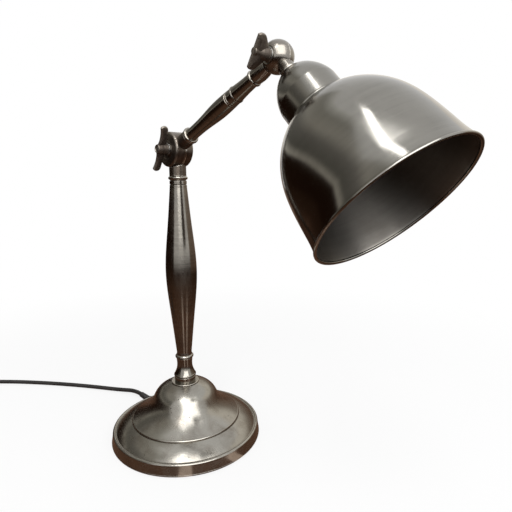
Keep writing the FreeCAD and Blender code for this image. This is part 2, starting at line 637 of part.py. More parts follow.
def rounded(box, flat_z):
    """The box with its upright corners and the edges away from the flat rounded."""
    posts = [e for e in box.Edges if abs(e.Vertexes[0].Z - e.Vertexes[-1].Z) > 1]
    box = box.makeFillet(5.0, posts)
    rims = [e for e in box.Edges if abs(e.BoundBox.ZLength) < 1e-6 and abs(e.BoundBox.ZMin - flat_z) > 1]
    return box.makeFillet(1.8, rims)


def rocker(middle, pin_z, top):
    """A rocker whose two finger faces meet in a shallow V, tilted to its off side."""
    half_l, half_w, tilt = 7.2, 5.0, 8.0
    points = [(-half_l, -2.2), (half_l, -2.2), (half_l, 5.4), (0, 4.4), (-half_l, 5.4)]
    profile = [Vector(-half_w, y, z) for y, z in points]
    profile.append(profile[0])
    body = Part.Face(Part.makePolygon(profile)).extrude(Vector(2 * half_w, 0, 0))
    body = body.cut(Part.makeCylinder(1.05, 20, Vector(-10, 0, 0), Vector(1, 0, 0)))
    body = body.cut(block((-half_w - 1, -half_l - 1, -3), (half_w + 1, -4.2, 0.4)))
    body = body.cut(block((-half_w - 1, 4.2, -3), (half_w + 1, half_l + 1, 0.4)))
    body.rotate(Vector(0, 0, 0), Vector(1, 0, 0), tilt)
    body.translate(Vector(SWITCH_X, middle, pin_z))
    return body


def plug():
    """A flat two-pin plug lying on its side, with a tapered nose round the cord."""
    nose, back, half_w, half_t = 0.0, 36.0, 17.4, 7.0
    points = [Vector(12, -6.5, 0), Vector(20, -13.0, 0), Vector(back - 4, -half_w, 0), Vector(back, -half_w, 0),
              Vector(back, half_w, 0), Vector(back - 4, half_w, 0), Vector(20, 13.0, 0), Vector(12, 6.5, 0)]
    points.append(points[0])
    body = Part.Face(Part.makePolygon(points)).extrude(Vector(0, 0, 2 * half_t))
    body.translate(Vector(0, 0, -half_t))
    rims = [e for e in body.Edges if e.BoundBox.ZLength < 1e-6 and e.CenterOfMass.x < back - 0.1]
    body = body.makeFillet(2.4, rims)
    tail = Outline(0, nose).line(3.4, nose).curve((4.2, 8), (6.4, 15)).line(0, 15)
    tail = tail.turn(Placement(Vector(0, 0, 0), Rotation(Vector(0, 1, 0), 90)))
    body = body.fuse(tail)
    body.translate(Vector(PLUG_X, PLUG_Y, PLUG_Z))
    pins = []
    for side in (-1, 1):
        pin = Outline(0, 0).line(2.0, 0).line(2.0, 18.0).arc(1.6, 18.8, 0.8, 19.0).line(0, 19.0)
        place = Placement(Vector(PLUG_X + back, PLUG_Y + side * 9.5, PLUG_Z), Rotation(Vector(0, 1, 0), 90))
        pins.append(pin.turn(place))
    return body, Part.makeCompound(pins)


def cord_pieces():
    nodes["cord_lead"], lead = cord_tube("cord_lead", LEAD_ROUTE)
    nodes["cord_link"], link = cord_tube("cord_link", LINK_ROUTE)
    nodes["cord_tail"], tail = cord_tube("cord_tail", TAIL_ROUTE)
    nodes["cord_coil"], coil = cord_coil()
    through_switch = SWITCH_Y[0] - SWITCH_Y[1]
    print(f"cord in all: {lead + link + tail + coil + through_switch:.0f} mm")
    cord_switch()
    nodes["plug_body"], nodes["plug_pins"] = plug()


def main():
    os.makedirs("parts", exist_ok=True)
    base_pieces()
    column_pieces()
    lower_clamp_pieces()
    arm_pieces()
    upper_clamp_pieces()
    head_pieces()
    cord_pieces()
    for name, shape in nodes.items():
        if not shape.isValid():
            raise ValueError(name + " is not a valid solid")
        shape.exportStep(f"parts/{name}.step")
        box = shape.BoundBox
        print(f"{name:20s} {len(shape.Solids)} solid, {shape.Volume:10.0f} mm3, "
              f"x {box.XMin:7.1f} {box.XMax:7.1f} y {box.YMin:7.1f} {box.YMax:7.1f} z {box.ZMin:6.1f} {box.ZMax:6.1f}")


main()
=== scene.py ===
"""Looks of the dome shade desk lamp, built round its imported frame.

Sizes in the classes are millimetres in the part's own frame: the origin is under the middle of
the base, +Z is up and +X points from the column to the shade. Meshes are written in metres.
"""
import json
import logging
import math
from dataclasses import dataclass, replace
from enum import Enum
from typing import Callable, ClassVar

import bpy
import numpy as np
from mathutils import Matrix, Vector


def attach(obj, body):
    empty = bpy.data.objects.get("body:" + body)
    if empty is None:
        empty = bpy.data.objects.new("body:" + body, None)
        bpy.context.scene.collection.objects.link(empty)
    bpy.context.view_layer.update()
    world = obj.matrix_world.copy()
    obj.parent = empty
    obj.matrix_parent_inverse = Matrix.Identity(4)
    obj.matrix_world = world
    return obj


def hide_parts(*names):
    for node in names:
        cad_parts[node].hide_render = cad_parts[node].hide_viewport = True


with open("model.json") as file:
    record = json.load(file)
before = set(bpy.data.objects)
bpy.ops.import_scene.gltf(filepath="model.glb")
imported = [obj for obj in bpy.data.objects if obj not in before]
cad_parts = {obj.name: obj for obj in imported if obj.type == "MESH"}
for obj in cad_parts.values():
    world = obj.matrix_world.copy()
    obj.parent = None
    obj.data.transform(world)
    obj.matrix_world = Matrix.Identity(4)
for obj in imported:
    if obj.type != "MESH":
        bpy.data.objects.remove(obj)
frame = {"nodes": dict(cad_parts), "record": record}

LOG = logging.getLogger("dome_lamp")
MM = 0.001
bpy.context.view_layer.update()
Array = np.ndarray
Colour = tuple[float, float, float]
Point = tuple[float, float, float]


class Body(Enum):
    """The lamp's moving bodies."""

    STAND = "stand"
    ARM = "arm"
    HEAD = "head"
    LOWER_NUT = "lower_nut"
    UPPER_NUT = "upper_nut"
    ROCKER = "rocker"


class Slot(Enum):
    """The finishes that the record names."""

    SPUN = "spun_metal"
    TURNED = "turned_metal"
    RING = "ring_metal"
    KNUCKLE = "knuckle_metal"
    WING = "wing_metal"
    HARDWARE = "steel_hardware"
    IRON = "iron"
    FELT = "felt"
    HOLDER = "holder_black"
    BRASS = "brass"
    CORD = "cord_black"
    PLUG = "plug_black"
    SWITCH = "switch_black"


class Seat(Enum):
    """What the inner end of a knuckle's tube is cut to."""

    DRUM = "drum"
    BALL = "ball"


def placed(name: str, data: bpy.types.ID) -> bpy.types.Object:
    """Puts a new object with this data into the scene."""
    made = bpy.data.objects.new(name, data)
    bpy.context.scene.collection.objects.link(made)
    return made


# ---- shapes -------------------------------------------------------------------------------
ARC_STEP = 0.16            # largest step of an arc, in radians
SHARP = 0.30               # a turn that counts as a corner, in radians
CORNER_SHARE = 0.42        # most of a run that a corner's rounding may take
CORNER_POINTS = 6
NEAR_ROWS = (0.0, 0.18, 0.45, 1.0, 2.0)     # rows near a run's ends, in millimetres from them
FAR_ROWS = 4.0             # millimetres between its other rows
OUTER_TURN = 1.4           # the bend, in radians, that counts as a full outer edge
INNER_TURN = 1.1           # and as a full groove
MEET = 1e-6                # closer points are one
SEAT_BLEND = 0.3           # millimetres over which a seat's two radii blend
WELD_WITHIN = 0.01         # millimetres
FLAT_WITHIN = math.radians(0.6)
BEVEL_FROM = math.radians(32)
BEVEL_FACES = 3


@dataclass(frozen=True)
class Axis:
    """A turning axis: where it starts, the way it runs and the way of angle zero."""

    origin: Point = (0.0, 0.0, 0.0)
    along: Point = (0.0, 0.0, 1.0)
    across: Point = (1.0, 0.0, 0.0)

    def point(self, radius: Array, height: Array, angle: Array) -> Array:
        """Origin plus height along the axis plus radius in the direction of the angle.

        Args:
            radius: Distances from the axis.
            height: Distances along it.
            angle: Angles round it, in radians.

        Returns:
            Points, one more dimension than the inputs.
        """
        w, u = np.array(self.along), np.array(self.across)
        v = np.cross(w, u)
        radius, height, angle = (a[..., None] for a in np.broadcast_arrays(radius, height, angle))
        return np.array(self.origin) + height * w + radius * (np.cos(angle) * u + np.sin(angle) * v)


def natural_spline(knots: Array, spacing: float) -> Array:
    """A cubic through the knots whose second derivative is zero at both ends.

    The second derivatives solve the usual three-term system over the chord lengths.

    Args:
        knots: (n, 2) points.
        spacing: Largest distance between the points returned.

    Returns:
        (m, 2) points from the first knot to the last.
    """
    chord = np.linalg.norm(np.diff(knots, axis=0), axis=1)
    t = np.concatenate([[0.0], np.cumsum(chord)])
    n = len(knots)
    system, right = np.eye(n), np.zeros((n, 2))
    inner = np.arange(1, n - 1)
    system[inner, inner - 1] = chord[:-1]
    system[inner, inner] = 2 * (chord[:-1] + chord[1:])
    system[inner, inner + 1] = chord[1:]
    slope = np.diff(knots, axis=0) / chord[:, None]
    right[inner] = 6 * np.diff(slope, axis=0)
    bend = np.linalg.solve(system, right)
    at = np.linspace(0, t[-1], max(3, int(t[-1] / spacing) + 1))
    k = np.clip(np.searchsorted(t, at, side="right") - 1, 0, n - 2)
    h, a, b = chord[k][:, None], (t[k + 1] - at)[:, None], (at - t[k])[:, None]
    cubic = (bend[k] * a**3 + bend[k + 1] * b**3) / (6 * h)
    return cubic + (knots[k] / h - bend[k] * h / 6) * a + (knots[k + 1] / h - bend[k + 1] * h / 6) * b


def turns(path: Array) -> tuple[Array, Array, Array]:
    """The steps into and out of each point of a closed path, and the angle between them."""
    before, after = path - np.roll(path, 1, axis=0), np.roll(path, -1, axis=0) - path
    across = before[:, 0] * after[:, 1] - before[:, 1] * after[:, 0]
    return before, after, np.arctan2(across, (before * after).sum(axis=1))


def arc_through(start: Array, middle: Array, end: Array, spacing: float) -> Array:
    """Points on the circle through three points, a straight run if they are in line.

    The centre is where the middle lines of the two chords meet.

    Args:
        start: First point.
        middle: A point between.
        end: Last point.
        spacing: Largest distance between the points returned.

    Returns:
        (m, 2) points from start to end.
    """
    a, b = middle - start, end - start
    twice_area = 2 * (a[0] * b[1] - a[1] * b[0])
    if abs(twice_area) < 1e-9:
        return np.array([start, end])
    aa, bb = a @ a, b @ b
    centre = start + np.array([b[1] * aa - a[1] * bb, a[0] * bb - b[0] * aa]) / twice_area
    radius = np.linalg.norm(start - centre)
    low, high = (math.atan2(*(p - centre)[::-1]) for p in (start, end))
    sweep = (high - low) % (2 * math.pi) if twice_area > 0 else -((low - high) % (2 * math.pi))
    count = max(6, int(abs(sweep) * radius / spacing), int(abs(sweep) / ARC_STEP))
    angle = low + sweep * np.linspace(0, 1, count + 1)
    return centre + radius * np.stack([np.cos(angle), np.sin(angle)], axis=1)


class Profile:
    """A half section in (radius, height), drawn anticlockwise so that the metal is on its left."""

    EASED = 0.25       # how far a corner's rounding starts from it
    SPACING = 1.3      # between points on a curve

    def __init__(self, radius: float, height: float) -> None:
        """Starts at a point."""
        self.runs: list[Array] = [np.array([[radius, height]], float)]

    def _add(self, run: Array) -> "Profile":
        """Appends a run that starts where the last one ended."""
        self.runs.append(np.asarray(run, float)[1:])
        return self

    def line(self, radius: float, height: float) -> "Profile":
        """A straight run."""
        return self._add([self.runs[-1][-1], (radius, height)])

    def arc(self, mid_radius: float, mid_height: float, radius: float, height: float) -> "Profile":
        """An arc through a middle point."""
        ends = self.runs[-1][-1], np.array([mid_radius, mid_height]), np.array([radius, height])
        return self._add(arc_through(*ends, self.SPACING))

    def curve(self, *points: tuple[float, float]) -> "Profile":
        """A smooth curve through the points."""
        return self._add(natural_spline(np.vstack([self.runs[-1][-1:], points]), self.SPACING))

    def follow(self, radius: Array, height: Array) -> "Profile":
        """The points given, as they are."""
        return self._add(np.vstack([self.runs[-1][-1:], np.stack([radius, height], axis=1)]))

    def outline(self, eased: float | None = None) -> "Outline":
        """Rounds the corners and grades the rows.

        A corner is replaced by a quadratic curve that leaves its two runs at the same distance
        from it. Long runs get rows that crowd towards their ends.

        Args:
            eased: That distance, or None for the usual one.

        Returns:
            The finished half section.
        """
        eased = self.EASED if eased is None else eased
        path = np.vstack(self.runs)
        closed = bool(np.linalg.norm(path[0] - path[-1]) < MEET)
        if closed:
            path = path[:-1]
        before, after, turn = turns(path)
        reach = np.minimum(np.linalg.norm(before, axis=1), np.linalg.norm(after, axis=1)) * CORNER_SHARE
        sharp = np.abs(turn) > SHARP
        if not closed:
            sharp[[0, -1]] = False
        pieces = []
        for k, corner in enumerate(path):
            if not sharp[k]:
                pieces.append(corner[None])
                continue
            cut = min(eased, reach[k])
            into = before[k] / np.linalg.norm(before[k])
            out = after[k] / np.linalg.norm(after[k])
            t = np.linspace(0, 1, CORNER_POINTS)[:, None]
            start, end = corner - cut * into, corner + cut * out
            pieces.append((1 - t) ** 2 * start + 2 * t * (1 - t) * corner + t**2 * end)
        rounded = np.vstack(pieces)
        if closed:
            rounded = np.vstack([rounded, rounded[:1]])
        rows = [graded(a, b) for a, b in zip(rounded[:-1], rounded[1:])]
        if not closed:
            rows.append(rounded[-1:])
        return Outline(np.vstack(rows), closed)


def graded(start: Array, end: Array) -> Array:
    """Points from start up to, but not at, end, closer together near both.

    Args:
        start: First point.
        end: The point after the last.

    Returns:
        (m, 2) points.
    """
    length = float(np.linalg.norm(end - start))
    near = np.array(NEAR_ROWS)
    near = near[near < length / 2]
    middle = np.linspace(0, length, max(1, int(length / FAR_ROWS)) + 1)
    middle = middle[(middle > near[-1] + 0.5) & (middle < length - near[-1] - 0.5)]
    at = np.concatenate([near, middle, length - near[:0:-1]])
    return start + (end - start) * (at / max(length, 1e-9))[:, None]


@dataclass
class Outline:
    """A finished half section: its (radius, height) rows, and whether it closes on itself."""

    rows: Array
    closed: bool

    def steps(self) -> Array:
        """Lengths from each row to the next."""
        last = self.rows[:1] if self.closed else self.rows[-1:]
        ahead = np.vstack([self.rows[1:], last])
        return np.linalg.norm(ahead - self.rows, axis=1)

    def along(self) -> Array:
        """Distance of each row from the first."""
        return np.concatenate([[0.0], np.cumsum(self.steps())[:-1]])

    def bend(self, width: float = 0.42) -> Array:
        """How far the section turns round each row, in radians, positive at outer edges.

        It is the sum of the turns at all rows, each weighed by a bell curve of its distance.

        Args:
            width: The bell curve's spread.

        Returns:
            One number for each row.
        """
        turn = turns(self.rows)[2]
        if not self.closed:
            turn[[0, -1]] = 0.0
        along, whole = self.along(), float(self.steps().sum())
        apart = np.abs(along[:, None] - along)
        if self.closed:
            apart = np.minimum(apart, whole - apart)
        return (np.exp(-0.5 * (apart / width) ** 2) * turn).sum(axis=1)

    def fields(self) -> dict[str, Array]:
        """Each row's place along the section, and its bend cut to outer and to inner corners."""
        bend = self.bend()
        edge, groove = np.clip(bend / OUTER_TURN, 0, 1), np.clip(-bend / INNER_TURN, 0, 1)
        return {"along": self.along(), "edge": edge, "groove": groove}

    def spun(self, sectors: int) -> tuple[Array, Array, Array]:
        """Radius and height of each row, repeated round, and the angles of a full turn."""
        radius, height = (np.repeat(column[:, None], sectors, axis=1) for column in self.rows.T)
        return radius, height, np.arange(sectors)[None, :] * 2 * math.pi / sectors


def woven(name: str, points: Array, fields: dict[str, Array], wrap_rows: bool = False) -> bpy.types.Object:
    """A closed mesh from a grid of points whose columns run round.

    Each cell of the grid is a face. A row whose points all meet becomes one vertex, and the
    order of the faces is turned over if the mesh's signed volume is negative.

    Args:
        name: The new object's name.
        points: (rows, columns, 3) places in millimetres.
        fields: Numbers for each row or each point, kept as attributes; "along" also makes the UV map.
        wrap_rows: Whether the last row joins the first.

    Returns:
        The new object, at the origin.
    """
    m, n = points.shape[:2]
    pole = np.ptp(points, axis=1).max(axis=1) < MEET
    start = np.concatenate([[0], np.cumsum(np.where(pole, 1, n))[:-1]])
    number = start[:, None] + np.where(pole[:, None], 0, np.arange(n))
    kept = ~pole[:, None] | (np.arange(n) == 0)
    i, j = (a.ravel() for a in np.meshgrid(np.arange(m if wrap_rows else m - 1), np.arange(n), indexing="ij"))
    i2, j2 = (i + 1) % m, (j + 1) % n
    cells = np.stack([number[i, j], number[i, j2], number[i2, j2], number[i2, j]], axis=1)
    along = np.broadcast_to(np.asarray(fields["along"], float).reshape(m, -1), (m, n))
    step = np.linalg.norm(np.roll(points, -1, axis=0) - points, axis=2).mean(axis=1)
    u1, u2 = along[i, j] / 100, (along[i, j] + step[i]) / 100
    v1, v2 = j / n, (j + 1) / n
    spots = np.stack([u1, v1, u1, v2, u2, v2, u2, v1], axis=1).reshape(-1, 4, 2)
    whole = ~(pole[i] | pole[i2])
    first, last = pole[i] & ~pole[i2], pole[i2] & ~pole[i]
    faces = [cells[whole], cells[first][:, [0, 2, 3]], cells[last][:, [0, 1, 2]]]
    maps = [spots[whole], spots[first][:, [0, 2, 3]], spots[last][:, [0, 1, 2]]]
    flat = points[kept]
    tents = np.vstack([faces[0][:, [0, 1, 2]], faces[0][:, [0, 2, 3]], faces[1], faces[2]])
    a, b, c = (flat[tents[:, k]] for k in range(3))
    if np.einsum("ij,ij->i", a, np.cross(b, c)).sum() < 0:
        faces, maps = [f[:, ::-1] for f in faces], [s[:, ::-1] for s in maps]
    mesh = bpy.data.meshes.new(name)
    mesh.from_pydata((flat * MM).tolist(), [], [face for group in faces for face in group.tolist()])
    layer = mesh.uv_layers.new(name="turning")
    layer.data.foreach_set("uv", np.concatenate([s.reshape(-1) for s in maps]).astype(np.float32))
    for key, values in fields.items():
        spread = np.broadcast_to(np.asarray(values, float).reshape(m, -1), (m, n))[kept]
        mesh.attributes.new(key, "FLOAT", "POINT").data.foreach_set("value", spread.astype(np.float32))
    mesh.shade_smooth()
    return placed(name, mesh)


Ripple = Callable[[Array, Array, Array], tuple[Array, Array]]


def turned(name: str, profile: Profile, axis: Axis = Axis(), sectors: int = 96,
           eased: float | None = None, ripple: Ripple | None = None) -> bpy.types.Object:
    """Turns a half section round an axis.

    A point is at the row's radius and height and at equal steps of the angle.

    Args:
        name: The new object's name.
        profile: The half section.
        axis: What it is turned round.
        sectors: Steps in a full turn.
        eased: Rounding of its corners, or None for the usual one.
        ripple: Changes (radius, height) at (radius, height, angle), for threads and grips.

    Returns:
        The new object.
    """
    outline = profile.outline(eased)
    radius, height, angle = outline.spun(sectors)
    if ripple:
        radius, height = ripple(radius, height, angle)
    return woven(name, axis.point(radius, height, angle), outline.fields(), outline.closed)


def seated_tube(name: str, profile: Profile, axis: Axis, seat: Seat, free: float, fused: float,
                mate: float, fused_side: int, settled: float, sectors: int = 96) -> bpy.types.Object:
    """A collar that grows from a knuckle and is cut to clear the other half of it.

    The axis starts at the hinge. The profile's lowest rows lie on the seat: they are moved to the
    distance at which a drum, or a ball, of the seat's radius is met, and the move fades out
    evenly up to the settled height. The seat's radius is the free one on the other half's side
    of the mating plane and the fused one, a little smaller, on its own side.

    Args:
        name: The new object's name.
        profile: Half section, with its heights measured from the hinge.
        axis: From the hinge outwards.
        seat: Drum or ball.
        free: Seat radius on the other half's side.
        fused: Seat radius on its own side.
        mate: Y of the mating plane.
        fused_side: +1 or -1, the side of that plane that it is fused to.
        settled: Height from which rows stay where they are drawn.
        sectors: Steps in a full turn.

    Returns:
        The new object.
    """
    outline = profile.outline()
    radius, height, angle = outline.spun(sectors)
    flat = axis.point(radius, np.zeros_like(height), angle)
    beyond = np.clip((flat[..., 1] - mate) * fused_side / SEAT_BLEND + 0.5, 0, 1)
    limit = free + (fused - free) * beyond**2 * (3 - 2 * beyond)
    u, v = radius * np.cos(angle), radius * np.sin(angle)
    clear = np.sqrt(np.maximum(limit**2 - u**2 - (v**2 if seat is Seat.BALL else 0), 1.0))
    lowest = height.min()
    fade = np.clip((settled - height) / (settled - lowest), 0, 1)
    seated = axis.point(radius, height + (clear - lowest) * fade, angle)
    return woven(name, seated, outline.fields(), outline.closed)


@dataclass(frozen=True)
class Wing:
    """A wing of a wing nut, or its one plate, by corners at (reach, height) from axis and seat."""

    inner: tuple[tuple[float, float], tuple[float, float]]
    tip: tuple[float, float]
    outer: tuple[float, float]
    notch: tuple[float, float]
    root: tuple[float, float, float]      # reach, lowest and highest point inside the hub
    thickness: float
    crown: float = 0.35                   # how much further out the middle of each face is
    web: bool = False                     # whether one plate runs from tip to tip over the hub

    RIM: ClassVar[float] = 0.46           # the rim's radius, as a share of the thickness
    CORNER: ClassVar[float] = 1.1
    ROUND: ClassVar[int] = 120            # points on the outline
    ACROSS: ClassVar[int] = 11            # rows on each face, and on the rim

    def outline(self) -> Array:
        """The wing's edge, anticlockwise, with its corners eased."""
        reach, low, high = self.root
        path = Profile(reach, low).line(*self.inner[0]).line(*self.inner[1]).arc(*self.tip, *self.outer)
        if self.web:
            corners = (self.outer, self.tip, self.inner[1], self.inner[0])
            outer, tip, near, foot = ((-x, z) for x, z in corners)
            path.line(*outer).arc(*tip, *near).line(*foot).line(reach, low)
        else:
            path.arc(*self.notch, reach, high).line(reach, low)
        rows = path.outline(self.CORNER).rows
        ends = np.vstack([rows, rows[:1]])
        along = np.concatenate([[0], np.cumsum(np.linalg.norm(np.diff(ends, axis=0), axis=1))])
        at = np.linspace(0, along[-1], self.ROUND + 1)[:-1]
        return np.stack([np.interp(at, along, ends[:, k]) for k in (0, 1)], axis=1)

    def surface(self, side: int, turn: Array) -> tuple[Array, dict[str, Array]]:
        """A pillow over the outline.

        The rows run from the middle of one face over the rim to the middle of the other. On the
        faces a point lies between the wing's middle and its outline moved in by the rim's
        radius, and the thickness rises towards the middle as a parabola. On the rim it follows a
        half circle that bulges out to the outline.

        Args:
            side: +1 or -1, the wing's way out.
            turn: (3, 3) rows of the nut's own X, Y and Z in the lamp's frame.

        Returns:
            The points and their attributes.
        """
        edge = self.outline()
        ahead = np.roll(edge, -1, axis=0) - np.roll(edge, 1, axis=0)
        inward = np.stack([-ahead[:, 1], ahead[:, 0]], axis=1) / np.linalg.norm(ahead, axis=1)[:, None]
        rim, n = self.thickness * self.RIM, self.ACROSS
        middle = edge.mean(axis=0)
        spread = np.concatenate([np.linspace(0, 1, n), np.ones(n - 2), np.linspace(1, 0, n)])
        swing = np.concatenate([-np.ones(n), np.linspace(-1, 1, n)[1:-1], np.ones(n)]) * math.pi / 2
        inset = rim * (1 - np.cos(swing))
        flat = edge[None] + inward[None] * inset[:, None, None]
        flat = middle + (flat - middle) * spread[:, None, None]
        half = np.sin(swing) * rim + np.sign(swing) * (spread < 1) * self.crown * (1 - spread**2)
        thick = np.broadcast_to(half[:, None], flat.shape[:2])
        own = np.stack([flat[..., 0] * side, thick, flat[..., 1]], axis=2)
        rows = np.arange(len(half))
        on_rim = np.exp(-0.5 * ((rows - rows.mean()) / 4.0) ** 2)
        near_hub = np.clip(1 - (edge[:, 0] - self.root[0] - 3.0) / 4.0, 0, 0.0 if self.web else 1.0)
        worn = on_rim[:, None] * (1 - 0.7 * near_hub)[None, :] * 0.8
        sunk = 0.5 * np.broadcast_to(near_hub, flat.shape[:2])
        return own @ turn, {"along": rows * 0.7, "edge": worn, "groove": sunk}


def joined(name: str, parts: list[bpy.types.Object]) -> bpy.types.Object:
    """Makes one object of several closed shells.

    Args:
        name: Its name.
        parts: Objects at the origin, the first of which is kept.

    Returns:
        The kept object.
    """
    with bpy.context.temp_override(active_object=parts[0], object=parts[0], selected_editable_objects=parts,
                                   selected_objects=parts):
        bpy.ops.object.join()
    parts[0].name = name
    parts[0].data.name = name
    return parts[0]


def eased_copy(name: str, node: str, width: float) -> bpy.types.Object:
    """A CAD node's merged copy with its sharp edges rounded.

    Args:
        name: The new object's name.
        node: The node to copy.
        width: Width of the rounding, in millimetres.

    Returns:
        The new object.
    """
    mesh = frame["nodes"][node].data.copy()
    mesh.name = name
    made = placed(name, mesh)
    mesh.materials.clear()
    weld = made.modifiers.new("weld", "WELD")
    weld.merge_threshold = WELD_WITHIN * MM
    flat = made.modifiers.new("flat", "DECIMATE")
    flat.decimate_type = "DISSOLVE"
    flat.angle_limit = FLAT_WITHIN
    bevel = made.modifiers.new("bevel", "BEVEL")
    bevel.width = width * MM
    bevel.segments = BEVEL_FACES
    bevel.limit_method = "ANGLE"
    bevel.angle_limit = BEVEL_FROM
    bevel.harden_normals = True
    mesh.shade_smooth()
    return made


# ---- finishes -----------------------------------------------------------------------------
Feed = bpy.types.NodeSocket | bpy.types.Node | float | tuple


class Wiring:
    """Adds nodes to one node tree and joins them up."""

    def __init__(self, tree: bpy.types.NodeTree) -> None:
        """Starts from the tree given."""
        self.tree = tree

    @classmethod
    def material(cls, name: str, bare: bool = False) -> tuple["Wiring", bpy.types.Material]:
        """Starts a material.

        Args:
            name: Its name.
            bare: Whether it starts without its usual shader.

        Returns:
            Its wiring and the material.
        """
        made = bpy.data.materials.new(name)
        made.use_nodes = True
        if bare:
            made.node_tree.nodes.clear()
        return cls(made.node_tree), made

    def node(self, kind: str, feeds: dict[str | int, Feed] | None = None,
             **settings: object) -> bpy.types.Node:
        """Adds a node.

        Args:
            kind: Its type, without the common "ShaderNode".
            feeds: What each input takes, a number, a colour or another node's output.
            settings: Its properties.

        Returns:
            The node.
        """
        made = self.tree.nodes.new(kind if kind.startswith("Node") else "ShaderNode" + kind)
        for key, value in settings.items():
            setattr(made, key, value)
        for key, value in (feeds or {}).items():
            self.feed(made.inputs[key], value)
        return made

    def feed(self, socket: bpy.types.NodeSocket, value: Feed) -> None:
        """Links a socket or sets its constant."""
        if isinstance(value, bpy.types.Node):
            value = value.outputs[0]
        if isinstance(value, bpy.types.NodeSocket):
            self.tree.links.new(value, socket)
        else:
            socket.default_value = (*value, 1.0) if isinstance(value, tuple) and len(value) == 3 and \
                socket.type == "RGBA" else value

    def sum(self, operation: str, *values: Feed, clamp: bool = False) -> bpy.types.NodeSocket:
        """One step of arithmetic."""
        made = self.node("Math", dict(enumerate(values)), operation=operation, use_clamp=clamp)
        return made.outputs[0]

    def times(self, a: Feed, b: Feed, clamp: bool = False) -> bpy.types.NodeSocket:
        """The product of two numbers."""
        return self.sum("MULTIPLY", a, b, clamp=clamp)

    def plus(self, a: Feed, b: Feed, clamp: bool = False) -> bpy.types.NodeSocket:
        """The sum of two numbers."""
        return self.sum("ADD", a, b, clamp=clamp)

    def less(self, a: Feed, b: Feed, clamp: bool = False) -> bpy.types.NodeSocket:
        """The first number less the second."""
        return self.sum("SUBTRACT", a, b, clamp=clamp)

    def mix(self, share: Feed, a: Feed, b: Feed) -> bpy.types.NodeSocket:
        """A colour between a and b."""
        return self.node("Mix", {0: share, 6: a, 7: b}, data_type="RGBA").outputs[2]

    def blend(self, share: Feed, a: Feed, b: Feed) -> bpy.types.NodeSocket:
        """A number between a and b."""
        return self.node("Mix", {0: share, 2: a, 3: b}, data_type="FLOAT").outputs[0]

    def stretch(self, value: Feed, low: float, high: float, to_low: float = 0.0, to_high: float = 1.0,
                smooth: bool = True) -> bpy.types.NodeSocket:
        """The value's range from low to high, taken to another range and held there outside it."""
        made = self.node("MapRange", {0: value, 1: low, 2: high, 3: to_low, 4: to_high},
                         interpolation_type="SMOOTHSTEP" if smooth else "LINEAR")
        return made.outputs[0]

    def noise(self, vector: Feed, scale: float, detail: float = 3.0, roughness: float = 0.55,
              distortion: float = 0.0) -> bpy.types.NodeSocket:
        """Smooth noise in space, from 0 to 1."""
        made = self.node("TexNoise", {"Vector": vector, "Scale": scale, "Detail": detail,
                                      "Roughness": roughness, "Distortion": distortion})
        return made.outputs[0]

    def field(self, name: str) -> bpy.types.NodeSocket:
        """A number kept on the mesh."""
        return self.node("Attribute", attribute_name=name).outputs["Fac"]

    def seen(self) -> bpy.types.NodeSocket:
        """1 for what the camera sees, directly, in gloss or through glass, else 0."""
        ray = self.node("LightPath").outputs
        direct = self.sum("MAXIMUM", ray["Is Camera Ray"], ray["Is Glossy Ray"])
        return self.sum("MAXIMUM", direct, ray["Is Transmission Ray"])

    def group(self, tree: bpy.types.NodeTree, feeds: dict[str, Feed]) -> bpy.types.Node:
        """Adds a group node, whose sockets exist only once its tree is set."""
        made = self.node("Group", node_tree=tree)
        for key, value in feeds.items():
            self.feed(made.inputs[key], value)
        return made


